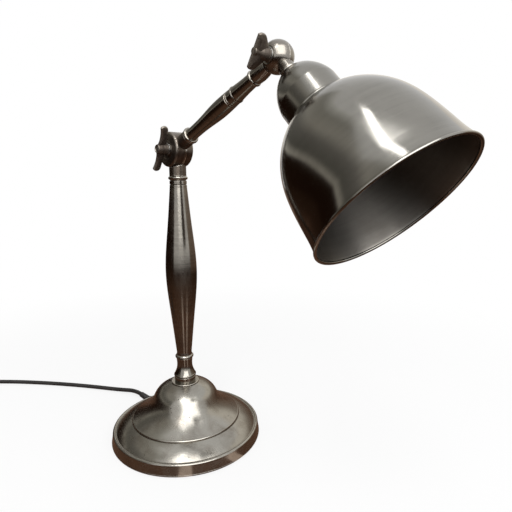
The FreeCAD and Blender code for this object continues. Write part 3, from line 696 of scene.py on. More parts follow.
class Effects:
    """Node groups that several finishes share. They put out only masks and heights."""

    def __init__(self) -> None:
        """Builds each group once."""
        self.lathe = self._lathe_lines()
        self.film = self._tarnish_film()
        self.rub = self._rubbed_edges()
        self.smear = self._smears()
        self.pits = self._pits()

    @staticmethod
    def _group(name: str, inputs: dict[str, str], outputs: tuple[str, ...]) -> tuple[Wiring, bpy.types.Node,
                                                                                     bpy.types.Node]:
        """Starts a group.

        Args:
            name: The group's name.
            inputs: Socket names and their kinds, "Float" or "Vector".
            outputs: Names of its float outputs.

        Returns:
            Its wiring, its input node and its output node.
        """
        tree = bpy.data.node_groups.new(name, "ShaderNodeTree")
        for key, kind in inputs.items():
            tree.interface.new_socket(name=key, in_out="INPUT", socket_type="NodeSocket" + kind)
        for key in outputs:
            tree.interface.new_socket(name=key, in_out="OUTPUT", socket_type="NodeSocketFloat")
        wiring = Wiring(tree)
        return wiring, wiring.node("NodeGroupInput"), wiring.node("NodeGroupOutput")

    def _lathe_lines(self) -> bpy.types.NodeTree:
        """Tool lines round a turned piece: noise along its outline, fainter here and there.

        Returns:
            A group that puts out the lines' height and a softer shade of them.
        """
        w, given, out = self._group("lathe lines", {"Along": "Float", "Place": "Vector", "Density": "Float"},
                                    ("Height", "Shade"))
        at = w.times(given.outputs["Along"], given.outputs["Density"])
        fine, wide = (
            w.node("TexNoise", {"W": at, "Scale": scale, "Detail": detail, "Roughness": roughness},
                   noise_dimensions="1D")
            for scale, detail, roughness in ((3.4, 2.0, 0.7), (0.55, 3.0, 0.6)))
        here = w.stretch(w.noise(given.outputs["Place"], 55.0, 3.0), 0.35, 0.65, 0.35, 1.0)
        lines = w.plus(w.times(fine, 0.55), w.times(wide, 0.45))
        w.feed(out.inputs["Height"], w.times(w.less(lines, 0.5), here))
        w.feed(out.inputs["Shade"], w.times(w.stretch(lines, 0.36, 0.64), here))
        return w.tree

    def _tarnish_film(self) -> bpy.types.NodeTree:
        """A dark film that lies in clouds and gathers in hollows.

        Returns:
            A group that puts out the film's cover, from 0 to 1.
        """
        w, given, out = self._group("tarnish film", {"Place": "Vector", "Size": "Float", "Cover": "Float",
                                                     "Groove": "Float"}, ("Cover",))
        place = w.node("VectorMath", {0: given.outputs["Place"], "Scale": given.outputs["Size"]},
                       operation="SCALE")
        cloud = w.noise(place, 1.0, 5.0, 0.62, 0.35)
        level = w.less(1.0, given.outputs["Cover"])
        low = w.less(level, 0.24)
        high = w.plus(level, 0.24)
        spread = w.node("MapRange", {0: cloud, 1: low, 2: high}, interpolation_type="SMOOTHSTEP")
        uneven = w.stretch(w.noise(place, 3.0), 0.2, 0.6, 0.6, 1.0)
        gathered = w.times(given.outputs["Groove"], uneven)
        w.feed(out.inputs["Cover"], w.sum("MAXIMUM", spread, gathered, clamp=True))
        return w.tree

    def _rubbed_edges(self) -> bpy.types.NodeTree:
        """Where hands and cloths have polished the outer corners.

        Returns:
            A group that puts out the polish, from 0 to 1.
        """
        w, given, out = self._group("rubbed edges", {"Edge": "Float", "Place": "Vector"}, ("Polish",))
        uneven = w.stretch(w.noise(given.outputs["Place"], 140.0, 4.0), 0.34, 0.62, 0.35, 1.0)
        worn = w.stretch(given.outputs["Edge"], 0.12, 0.75)
        w.feed(out.inputs["Polish"], w.times(worn, uneven, clamp=True))
        return w.tree

    def _smears(self) -> bpy.types.NodeTree:
        """Cloudy wiping marks that change the gloss.

        Returns:
            A group that puts out the smears, from 0 to 1.
        """
        w, given, out = self._group("smears", {"Place": "Vector"}, ("Smear",))
        drawn = w.node("Mapping", {"Vector": given.outputs["Place"], "Rotation": (0.5, 0.3, 0.8),
                                   "Scale": (1.0, 2.6, 1.0)})
        wipes = w.noise(drawn, 26.0, 4.0, 0.6, 1.2)
        spots = w.noise(given.outputs["Place"], 95.0, 3.0, 0.5)
        marks = w.plus(w.times(wipes, 0.7), w.times(spots, 0.3))
        w.feed(out.inputs["Smear"], w.stretch(marks, 0.36, 0.66))
        return w.tree

    def _pits(self) -> bpy.types.NodeTree:
        """Small dark casting and corrosion pits, a few to each square centimetre.

        Returns:
            A group that puts out the pits, from 0 to 1.
        """
        w, given, out = self._group("pits", {"Place": "Vector", "Amount": "Float"}, ("Pit",))
        cells = w.node("TexVoronoi", {"Vector": given.outputs["Place"], "Scale": 420.0})
        chosen = w.node("SeparateColor", {0: cells.outputs["Color"]})
        dot = w.stretch(cells.outputs["Distance"], 0.14, 0.30, 1.0, 0.0)
        rare = w.sum("LESS_THAN", chosen, given.outputs["Amount"])
        w.feed(out.inputs["Pit"], w.times(dot, rare))
        return w.tree


@dataclass(frozen=True)
class MetalFinish:
    """Aged metal: its polished colour, the film on it, the marks of its making and a painted shade on its
    inner side.
    """

    name: str
    colour: Colour
    film: Colour
    roughness: float = 0.27
    film_rough: float = 0.16
    cover: float = 0.40
    film_size: float = 22.0
    line_depth: float = 0.030       # millimetres
    line_shade: float = 0.18
    density: float = 1.0
    pits: float = 0.02
    polish: Colour = (0.62, 0.59, 0.53)
    anisotropy: float = 0.45
    blotch: float = 0.25
    smear: float = 0.10
    rub: float = 1.0
    inner_from: float = 1e6         # millimetres along the outline where the inner side starts
    inner_rough: float = 0.34
    # painted shade: how far the inner side's colour is darkened, standing in for the shade inside the dome
    inner_painted_shade: float = 0.45             # how much darker the inner side is

    def material(self, effects: Effects) -> bpy.types.Material:
        """Builds the metal.

        Args:
            effects: The shared node groups.

        Returns:
            The material.
        """
        w, made = Wiring.material(self.name)
        shader = w.tree.nodes["Principled BSDF"]
        place = w.node("TexCoord").outputs["Object"]
        along, edge, groove = w.field("along"), w.field("edge"), w.field("groove")

        lathe = w.group(effects.lathe, {"Along": along, "Place": place, "Density": self.density})
        film = w.group(effects.film, {"Place": place, "Size": self.film_size, "Cover": self.cover,
                                      "Groove": groove})
        rubbed = w.group(effects.rub, {"Edge": edge, "Place": place})
        rub = w.times(rubbed, self.rub)
        smear = w.group(effects.smear, {"Place": place})
        pits = w.group(effects.pits, {"Place": place, "Amount": self.pits})
        covered = w.times(film.outputs["Cover"], w.less(1.0, w.times(rub, 0.9)))
        base = w.mix(covered, self.colour, self.film)
        blotch = w.noise(place, 48.0, 4.0, 0.6)
        base = w.mix(w.stretch(blotch, 0.35, 0.68, 0.0, self.blotch), base,
                     tuple(c * 0.45 for c in self.colour))
        base = w.mix(w.times(lathe.outputs["Shade"], self.line_shade), base,
                     tuple(c * 0.35 for c in self.colour))
        base = w.mix(w.times(rub, 0.85), base, self.polish)
        base = w.mix(w.times(pits, 0.85), base, (0.015, 0.012, 0.010))
        inner = w.stretch(along, self.inner_from, self.inner_from + 4.0)
        # Painted shade: the inner side's colour is pulled towards near black, standing in for the shade
        # inside the dome; its rougher gloss and deeper lines below are real.
        base = w.mix(w.times(inner, self.inner_painted_shade), base, (0.05, 0.04, 0.035))
        w.feed(shader.inputs["Base Color"], base)
        shader.inputs["Metallic"].default_value = 1.0
        rough = w.plus(self.roughness - self.smear / 2, w.times(smear, self.smear))
        rough = w.plus(rough, w.times(covered, self.film_rough))
        rough = w.plus(rough, w.times(pits, 0.3))
        rough = w.less(rough, w.times(rub, 0.08), clamp=True)
        rough = w.plus(rough, w.times(inner, self.inner_rough), clamp=True)
        w.feed(shader.inputs["Roughness"], rough)
        height = w.plus(w.times(lathe.outputs["Height"], w.blend(inner, 1.0, 3.0)),
                       w.times(pits, -0.2))
        bump = w.node("Bump", {"Height": height, "Distance": self.line_depth * MM, "Strength": 1.0})
        w.feed(shader.inputs["Normal"], bump)
        shader.inputs["Anisotropic"].default_value = self.anisotropy
        if self.anisotropy:
            tangent = w.node("Tangent", direction_type="UV_MAP", uv_map="turning")
            w.feed(shader.inputs["Tangent"], tangent)
        return made


@dataclass(frozen=True)
class PlainFinish:
    """Plastic, rubber, felt, iron, zinc or brass: a cloudy colour, a grain and its gloss."""

    name: str
    colour: Colour
    second: Colour
    roughness: float
    metallic: float = 0.0
    grain_size: float = 900.0         # cells to the metre
    grain_depth: float = 0.02         # millimetres
    cloud_size: float = 60.0
    coat: float = 0.0
    sheen: float = 0.0

    def material(self, effects: Effects) -> bpy.types.Material:
        """Builds the finish.

        Args:
            effects: The shared node groups.

        Returns:
            The material.
        """
        w, made = Wiring.material(self.name)
        shader = w.tree.nodes["Principled BSDF"]
        place = w.node("TexCoord").outputs["Object"]
        cloud = w.stretch(w.noise(place, self.cloud_size, 4.0, 0.6), 0.3, 0.7)
        smear = w.group(effects.smear, {"Place": place})
        w.feed(shader.inputs["Base Color"], w.mix(cloud, self.colour, self.second))
        w.feed(shader.inputs["Roughness"], w.plus(self.roughness - 0.06, w.times(smear, 0.12),
                                                 clamp=True))
        grain = w.noise(place, self.grain_size, 3.0, 0.6)
        w.feed(shader.inputs["Normal"], w.node("Bump", {"Height": grain, "Distance": self.grain_depth * MM}))
        shader.inputs["Metallic"].default_value = self.metallic
        shader.inputs["Coat Weight"].default_value = self.coat
        shader.inputs["Sheen Weight"].default_value = self.sheen
        return made


class Finishes:
    """Every finish of the lamp, built once."""

    METALS = {
        Slot.SPUN: MetalFinish("aged pewter, spun", (0.265, 0.255, 0.232), (0.185, 0.170, 0.145),
                               roughness=0.19, film_rough=0.07, cover=0.30, film_size=16.0, line_shade=0.10,
                               line_depth=0.015, density=0.8, pits=0.0, blotch=0.10, smear=0.05, rub=0.18,
                               anisotropy=0.30),
        Slot.TURNED: MetalFinish("aged pewter, turned", (0.310, 0.290, 0.255), (0.115, 0.090, 0.068),
                                 roughness=0.18, cover=0.36, line_shade=0.52, line_depth=0.055,
                                 density=0.6, pits=0.030, blotch=0.18, smear=0.07, rub=0.6),
        Slot.RING: MetalFinish("aged pewter, ring", (0.29, 0.27, 0.235), (0.12, 0.098, 0.075),
                               roughness=0.20, cover=0.28, line_shade=0.10, line_depth=0.02, smear=0.07,
                               rub=0.6),
        Slot.KNUCKLE: MetalFinish("aged pewter, knuckle", (0.235, 0.205, 0.175), (0.085, 0.064, 0.048),
                                  roughness=0.30, cover=0.50, line_shade=0.12, film_size=60.0, pits=0.03),
        Slot.WING: MetalFinish("dark cast wing", (0.175, 0.150, 0.128), (0.070, 0.054, 0.043),
                               roughness=0.50, cover=0.52, line_shade=0.0, line_depth=0.05, film_size=70.0,
                               pits=0.06, anisotropy=0.0, polish=(0.30, 0.27, 0.23)),
    }
    PLAIN = {
        Slot.HARDWARE: PlainFinish("satin zinc", (0.50, 0.50, 0.49), (0.36, 0.36, 0.35), 0.34, metallic=1.0),
        Slot.IRON: PlainFinish("raw cast iron", (0.060, 0.055, 0.052), (0.10, 0.06, 0.04), 0.75, metallic=0.6,
                               grain_size=1400.0, grain_depth=0.25),
        Slot.FELT: PlainFinish("black felt", (0.018, 0.020, 0.018), (0.035, 0.036, 0.033), 0.95,
                               grain_size=2600.0, grain_depth=0.5, cloud_size=500.0, sheen=0.5),
        Slot.HOLDER: PlainFinish("black moulding", (0.016, 0.016, 0.017), (0.026, 0.025, 0.025), 0.34,
                                 grain_size=1600.0, grain_depth=0.02),
        Slot.BRASS: PlainFinish("satin brass", (0.62, 0.46, 0.20), (0.40, 0.28, 0.12), 0.30, metallic=1.0),
        Slot.CORD: PlainFinish("black cord sheath", (0.012, 0.011, 0.011), (0.022, 0.020, 0.019), 0.46,
                               grain_size=1800.0, grain_depth=0.03, cloud_size=120.0),
        Slot.PLUG: PlainFinish("black rubber plug", (0.014, 0.014, 0.015), (0.024, 0.023, 0.023), 0.52,
                               grain_size=2400.0, grain_depth=0.06),
        Slot.SWITCH: PlainFinish("black glossy switch", (0.013, 0.013, 0.014), (0.018, 0.018, 0.019), 0.24,
                                 grain_size=1200.0, grain_depth=0.01, coat=0.2),
    }

    BALL = MetalFinish("aged pewter, ball", (0.27, 0.25, 0.22), (0.12, 0.10, 0.08), roughness=0.24,
                       cover=0.34, line_shade=0.06, film_size=60.0, rub=0.5)
    OWN = {
        "arm_ball": BALL,
        "head_ball": BALL,
        "spun_shade": replace(METALS[Slot.SPUN], name="aged pewter, shade", inner_from=104.5, roughness=0.15,
                              line_shade=0.16, line_depth=0.022, density=0.5, anisotropy=0.55),
        # Painted highlight: the base gets a lighter colour and film than the spun pewter of the cup and
        # shade, standing in for the brighter light that it reflects.
        "spun_base": replace(METALS[Slot.SPUN], name="aged pewter, base, painted lighter", colour=(0.35, 0.335, 0.30),
                             film=(0.215, 0.190, 0.160), cover=0.40, roughness=0.23, smear=0.07,
                             blotch=0.12, film_size=60.0, line_shade=0.10, pits=0.015),
    }

    def __init__(self) -> None:
        """Builds the shared groups and every material."""
        effects = Effects()
        every = {**self.METALS, **self.PLAIN, **self.OWN}
        self.made = {key: finish.material(effects) for key, finish in every.items()}

    def fit(self, piece: bpy.types.Object, body: Body, slot: Slot, *nodes: str) -> bpy.types.Object:
        """Dresses a piece and makes it part of a body.

        Args:
            piece: The piece.
            body: What it moves with.
            slot: Its finish.
            nodes: CAD nodes that it stands for.

        Returns:
            The piece.
        """
        piece.data.materials.clear()
        piece.data.materials.append(self.made[piece.name if piece.name in self.OWN else slot])
        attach(piece, body.value)
        if nodes:
            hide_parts(*nodes)
        LOG.info("%s rides on %s", piece.name, body.value)
        return piece

    def dress_nodes(self) -> None:
        """Gives every CAD node the finish of its slot."""
        wanted = {row["node"]: Slot(row["material_slot"]) for row in frame["record"]["subparts"]}
        for name, node in frame["nodes"].items():
            node.data.materials.clear()
            node.data.materials.append(self.made[wanted[name]])


# ---- sub-assemblies -----------------------------------------------------------------------
ARM_Y = -2.3                      # the plane that the arm and the head swing in
HINGE_Z = 305.6                   # the lower hinge's height
ARM_LENGTH = 153.8                # from hinge to hinge
RISE = math.radians(22.6)         # of the arm
DIP = math.radians(46.3)          # of the shade's axis
UPPER = (ARM_LENGTH * math.cos(RISE), ARM_Y, HINGE_Z + ARM_LENGTH * math.sin(RISE))
COLUMN_AXIS = Axis()
ARM_AXIS = Axis((0.0, ARM_Y, HINGE_Z), (math.cos(RISE), 0.0, math.sin(RISE)),
                (math.sin(RISE), 0.0, -math.cos(RISE)))
HEAD_AXIS = Axis(UPPER, (math.cos(DIP), 0.0, -math.sin(DIP)), (-math.sin(DIP), 0.0, -math.cos(DIP)))


def bead_ring(inner_r: float, outer_r: float, low: float, high: float) -> Profile:
    """A ring with a half-round outer face."""
    edge = outer_r - (high - low) * 0.35
    ring = Profile(inner_r, low).line(edge, low).arc(outer_r, (low + high) / 2, edge, high)
    return ring.line(inner_r, high).line(inner_r, low)


def flat_ring(inner_r: float, outer_r: float, low: float, high: float) -> Profile:
    """A ring of rectangular section."""
    return Profile(inner_r, low).line(outer_r, low).line(outer_r, high).line(inner_r, high).line(inner_r, low)


@dataclass
class Base:
    """The spun base: side wall, beaded rim, rising ring, step and bell."""

    foot_r: float = 80.0
    foot_z: float = 0.5
    rim_z: float = 11.8
    step_r: float = 57.7
    step_z: float = 23.2
    top_z: float = 59.6
    sheet: float = 1.8
    gland_z: float = 6.2

    def shell(self) -> Profile:
        """The base's half section, outside first and then back along the inside."""
        t, r = self.sheet, self.foot_r
        p = Profile(5.1, self.top_z - t).line(14.4, self.top_z - t)
        p.curve((23.2, 54.2), (30.0, 48.2), (34.4, 40.2), (44.0, 29.6), (55.6, self.step_z - 1.1))
        p.line(self.step_r - 0.6, self.step_z - 3.2).arc(65.9, 16.2, 73.9, self.rim_z - 1.9)
        p.arc(75.8, self.rim_z - 1.5, 76.8, self.rim_z - 2.6).line(r - 0.2 - t, self.foot_z + 1.6)
        p.line(r - t, self.foot_z).line(r - 0.4, self.foot_z)
        p.arc(r, self.foot_z + 0.8, r - 0.2, self.foot_z + 1.6).line(78.6, self.rim_z - 1.4)
        p.arc(77.4, self.rim_z + 0.6, 75.6, self.rim_z).line(74.6, self.rim_z - 0.1)
        p.arc(67.0, 17.7, self.step_r + 0.9, self.step_z - 1.6).line(self.step_r + 0.2, self.step_z - 1.6)
        p.arc(self.step_r + 0.1, self.step_z, self.step_r - 1.0, self.step_z + 0.6)
        p.curve((45.2, 31.0), (36.0, 41.2), (31.8, 49.0), (24.6, 55.6), (15.0, self.top_z))
        return p.line(5.1, self.top_z).line(5.1, self.top_z - t)

    def collar(self) -> Profile:
        """The flat plate on top of the bell."""
        z = self.top_z
        return Profile(5.1, z).line(14.2, z).arc(14.9, z + 0.7, 14.2, z + 1.4).line(5.1, z + 1.4).line(5.1, z)

    def bush(self) -> Profile:
        """The strain relief: a flange on the wall and a tapered tail with five grooves.

        The tail's radius falls evenly from 3.8 to 3.2, less a cosine dip at each groove.
        """
        p = Profile(0.0, 74.0).line(1.95, 74.0).line(3.8, 74.0).line(3.8, 80.2).line(4.9, 80.2)
        p.arc(5.1, 81.1, 4.4, 82.0)
        s = np.linspace(82.6, 101.2, 94)
        dip = np.clip(np.cos((s - 84.5) * 2 * math.pi / 3.1) * 1.6 - 0.6, 0, 1) * 0.45 * (s < 99.0)
        return p.follow(np.interp(s, (82.6, 101.5), (3.85, 3.2)) - dip, s).line(3.0, 101.5).line(0.0, 101.5)

    def build(self, finishes: Finishes) -> None:
        """Makes the shell, the collar and the bush."""
        shell = turned("spun_base", self.shell(), sectors=288)
        finishes.fit(shell, Body.STAND, Slot.SPUN, "base_shell")
        finishes.fit(turned("bell_plate", self.collar(), sectors=128), Body.STAND, Slot.RING, "bell_collar")
        back = Axis((0.0, 0.0, self.gland_z), (-1.0, 0.0, 0.0), (0.0, 0.0, 1.0))
        finishes.fit(turned("strain_relief", self.bush(), back, 40), Body.STAND, Slot.CORD, "cord_bush")


@dataclass
class Column:
    """The turned column: its foot, two bead rings and the long swelling body."""

    foot_z: float = 61.0
    body_z: float = 90.8
    top_z: float = 276.2

    def foot(self) -> Profile:
        """A short drum with a groove and a flared rim that sweeps to a waist."""
        p = Profile(0.0, self.foot_z).line(11.1, self.foot_z).line(11.3, 66.2).line(10.7, 66.7)
        p.line(11.4, 67.2)
        return p.arc(11.8, 68.4, 11.2, 69.4).curve((8.7, 75.5), (8.1, 80.5), (8.6, 87.0)).line(0.0, 87.0)

    def body(self) -> Profile:
        """The body, widest in the middle, with two grooves near the top."""
        p = Profile(0.0, self.body_z).line(8.2, self.body_z).line(7.9, 93.5)
        p.curve((12.6, 138), (16.1, 183), (12.7, 226), (8.75, 268)).line(8.6, 271.0).line(7.9, 271.4)
        p.line(8.6, 271.8).line(8.6, 275.0).line(7.9, 275.4).line(8.4, self.top_z)
        return p.line(0.0, self.top_z)

    def build(self, finishes: Finishes) -> None:
        """Makes the column's four turned pieces."""
        for name, node, slot, profile in (
            ("turned_foot", "column_foot", Slot.TURNED, self.foot()),
            ("foot_bead", "column_lower_ring", Slot.RING, bead_ring(2.7, 9.7, 87.0, self.body_z)),
            ("turned_column", "column", Slot.TURNED, self.body()),
            ("head_bead", "column_upper_ring", Slot.RING, bead_ring(2.7, 9.8, self.top_z, 279.5)),
        ):
            finishes.fit(turned(name, profile, COLUMN_AXIS, 128, 0.2), Body.STAND, slot, node)


@dataclass
class WingNut:
    """A cast wing nut on its bolt: a domed hub with two wings, or a closed hub with one plate."""

    seat_r: float
    end_r: float
    height: float
    bore_r: float
    wing: Wing
    turn_deg: float
    seat: Point

    def build(self, name: str, body: Body, node: str, finishes: Finishes) -> None:
        """Makes the nut with its own Z along -Y and its wings turned up from +X.

        Args:
            name: The piece's name.
            body: What it moves with.
            node: The CAD node it stands for.
            finishes: The lamp's finishes.
        """
        a = math.radians(self.turn_deg)
        own_x, own_z = (math.cos(a), 0.0, math.sin(a)), (0.0, -1.0, 0.0)
        turn = np.array([own_x, np.cross(own_z, own_x), own_z])
        b, h = self.bore_r, self.height
        hub = Profile(0.0 if self.wing.web else b, 0.0).line(self.seat_r, 0.0)
        hub.line(self.seat_r, 0.5).line(self.end_r, h * 0.45)
        if self.wing.web:
            hub.curve((3.5, h * 0.62), (2.95, h * 0.8), (2.75, h - 0.9)).line(0.0, h - 0.5)
        else:
            hub.arc(self.end_r * 0.93, h * 0.86, b + 0.9, h).line(b + 0.4, h).line(b, h - 0.7).line(b, 0.0)
        parts = [turned(name, hub, Axis(self.seat, own_z, own_x), 64, 0.3)]
        for k, side in enumerate((1,) if self.wing.web else (1, -1)):
            points, fields = self.wing.surface(side, turn)
            parts.append(woven(f"{name}_wing_{k}", points + np.array(self.seat), fields))
        finishes.fit(joined(name, parts), body, Slot.WING, node)


@dataclass
class LowerKnuckle:
    """Two discs face to face on a crosswise bolt, with the column's neck and the arm's collar."""

    drum_r: float = 17.0
    gap: float = 0.3
    split_y: float = -0.55
    back_y: float = 8.7
    front_y: float = -11.7
    neck_r: float = 8.5

    def disc(self, mate: float, face: float) -> tuple[Profile, Axis]:
        """A disc along Y with a rounded outer edge and a shallow turned step on its face.

        Args:
            mate: Y of the mating face.
            face: Y of the outer face.

        Returns:
            Its half section and axis.
        """
        depth, r = abs(face - mate), self.drum_r
        p = Profile(3.05, 0.0).line(r - 0.3, 0.0).line(r, 0.3).line(r, depth - 2.2)
        p.arc(r - 0.7, depth - 0.7, r - 2.4, depth).line(9.4, depth).line(9.1, depth - 0.25)
        p.line(8.6, depth - 0.25).line(8.3, depth).line(3.05, depth).line(3.05, 0.0)
        return p, Axis((0.0, mate, HINGE_Z), (0.0, 1.0 if face > mate else -1.0, 0.0), (1.0, 0.0, 0.0))

    def build(self, finishes: Finishes) -> None:
        """Makes both halves, the washer, the bolt and the wing nut."""
        back, front = self.split_y + self.gap / 2, self.split_y - self.gap / 2
        free, fused = self.drum_r + self.gap, self.drum_r - 0.6
        down = Axis((0.0, 0.0, HINGE_Z), (0.0, 0.0, -1.0), (1.0, 0.0, 0.0))
        neck = Profile(0.0, 15.0).line(self.neck_r, 15.0).line(self.neck_r, 26.1).line(0.0, 26.1)
        profile, axis = self.disc(back, self.back_y)
        parts = [turned("column_fork", profile, axis, 160),
                 seated_tube("neck", neck, down, Seat.DRUM, free, fused, back, 1, 24.0)]
        finishes.fit(joined("column_fork", parts), Body.STAND, Slot.KNUCKLE, "column_knuckle")
        collar = Profile(0.0, 15.6).line(7.2, 15.6).line(7.4, 27.4).line(6.8, 28.6).line(0.0, 28.6)
        profile, axis = self.disc(front, self.front_y)
        parts = [turned("arm_fork", profile, axis, 160),
                 seated_tube("collar", collar, ARM_AXIS, Seat.DRUM, free, fused, front, -1, 24.0)]
        finishes.fit(joined("arm_fork", parts), Body.ARM, Slot.KNUCKLE, "arm_knuckle")
        seat = (0.0, self.front_y, HINGE_Z)
        plate = flat_ring(3.3, 6.4, 0.0, 1.0)
        washer = turned("lower_plain_washer", plate, Axis(seat, (0.0, -1.0, 0.0)), 64, 0.15)
        finishes.fit(washer, Body.ARM, Slot.HARDWARE, "lower_washer")
        bolt = eased_copy("lower_slotted_bolt", "lower_bolt", 0.25)
        finishes.fit(bolt, Body.STAND, Slot.HARDWARE, "lower_bolt")
        wing = Wing(inner=((6.5, 0.9), (18.6, 1.9)), tip=(22.9, 6.2), outer=(20.4, 10.3), notch=(10.5, 8.8),
                    root=(3.9, 0.6, 9.6), thickness=3.2, crown=0.45)
        nut = WingNut(5.6, 4.9, 10.2, 3.05, wing, 64.5, (0.0, self.front_y - 1.1, HINGE_Z))
        nut.build("lower_wings", Body.LOWER_NUT, "lower_wing_nut", finishes)


@dataclass
class Arm:
    """The turned arm between its two rings."""

    low: float = 31.8
    high: float = 124.4

    def body(self) -> Profile:
        """A swelling with a double groove and a small bead after it."""
        p = Profile(0.0, self.low).line(6.3, self.low).line(5.9, 34.0)
        p.curve((6.3, 54), (7.75, 78), (7.45, 93.8))
        p.line(6.9, 94.2).line(7.4, 94.7).line(7.35, 95.6).line(6.8, 96.0).line(7.3, 96.5)
        p.line(7.1, 101.3).arc(7.55, 102.3, 7.0, 103.3).curve((6.1, 115.0), (5.8, self.high))
        return p.line(0.0, self.high)

    def build(self, finishes: Finishes) -> None:
        """Makes the arm and its rings."""
        for name, node, slot, profile in (
            ("arm_root_bead", "arm_lower_ring", Slot.RING, bead_ring(2.7, 8.1, 28.6, self.low)),
            ("turned_arm", "arm", Slot.TURNED, self.body()),
            ("arm_end_bead", "arm_upper_ring", Slot.RING, bead_ring(2.7, 6.9, self.high, 127.4)),
        ):
            finishes.fit(turned(name, profile, ARM_AXIS, 112, 0.2), Body.ARM, slot, node)


@dataclass
class UpperKnuckle:
    """A ball in two halves on a crosswise bolt, with the arm's collar and the head's stem."""

    ball_r: float = 12.4
    gap: float = 0.3
    flat: float = 10.5

    def half(self) -> Profile:
        """Half a ball with a flat for the bolt, its height measured from the ball's middle."""
        r, low = self.ball_r, self.gap / 2
        rim = math.sqrt(r**2 - self.flat**2)
        tilt = (math.asin(low / r) + math.asin(self.flat / r)) / 2
        p = Profile(2.55, low).line(math.sqrt(r**2 - low**2), low)
        p.arc(r * math.cos(tilt), r * math.sin(tilt), rim, self.flat)
        return p.line(2.55, self.flat).line(2.55, low)

    def build(self, finishes: Finishes) -> None:
        """Makes both halves, the washer, the bolt and the wing nut."""
        free, fused = self.ball_r + self.gap, self.ball_r - 0.5
        inward = Axis(UPPER, tuple(-c for c in ARM_AXIS.along), ARM_AXIS.across)
        collar = Profile(0.0, 11.0).line(5.6, 11.0).line(6.2, 14.3).arc(6.75, 20.8, 6.3, 25.6)
        collar.line(6.0, 26.4).line(0.0, 26.4)
        parts = [turned("arm_ball", self.half(), Axis(UPPER, (0.0, 1.0, 0.0)), 128),
                 seated_tube("collar", collar, inward, Seat.BALL, free, fused, ARM_Y, 1, 14.0)]
        finishes.fit(joined("arm_ball", parts), Body.ARM, Slot.KNUCKLE, "arm_ball_half")
        stem = Profile(0.0, 10.8).line(6.2, 10.8).line(6.2, 16.0).line(0.0, 16.0)
        parts = [turned("head_ball", self.half(), Axis(UPPER, (0.0, -1.0, 0.0)), 128),
                 seated_tube("stem", stem, HEAD_AXIS, Seat.BALL, free, fused, ARM_Y, -1, 14.0)]
        finishes.fit(joined("head_ball", parts), Body.HEAD, Slot.KNUCKLE, "head_ball_half")
        seat = (UPPER[0], ARM_Y - self.flat, UPPER[2])
        plate = flat_ring(2.8, 5.6, 0.0, 1.0)
        washer = turned("upper_plain_washer", plate, Axis(seat, (0.0, -1.0, 0.0)), 64, 0.15)
        finishes.fit(washer, Body.HEAD, Slot.HARDWARE, "upper_washer")
        bolt = eased_copy("upper_slotted_bolt", "upper_bolt", 0.2)
        finishes.fit(bolt, Body.ARM, Slot.HARDWARE, "upper_bolt")
        wing = Wing(inner=((5.2, 1.0), (10.8, 5.6)), tip=(12.9, 10.6), outer=(11.6, 13.9), notch=(7.0, 13.6),
                    root=(0.0, 1.0, 12.8), thickness=3.0, crown=1.7, web=True)
        nut = WingNut(5.0, 4.4, 14.0, 2.55, wing, 58.0, (UPPER[0], seat[1] - 1.1, UPPER[2]))
        nut.build("upper_wings", Body.UPPER_NUT, "upper_wing_nut", finishes)


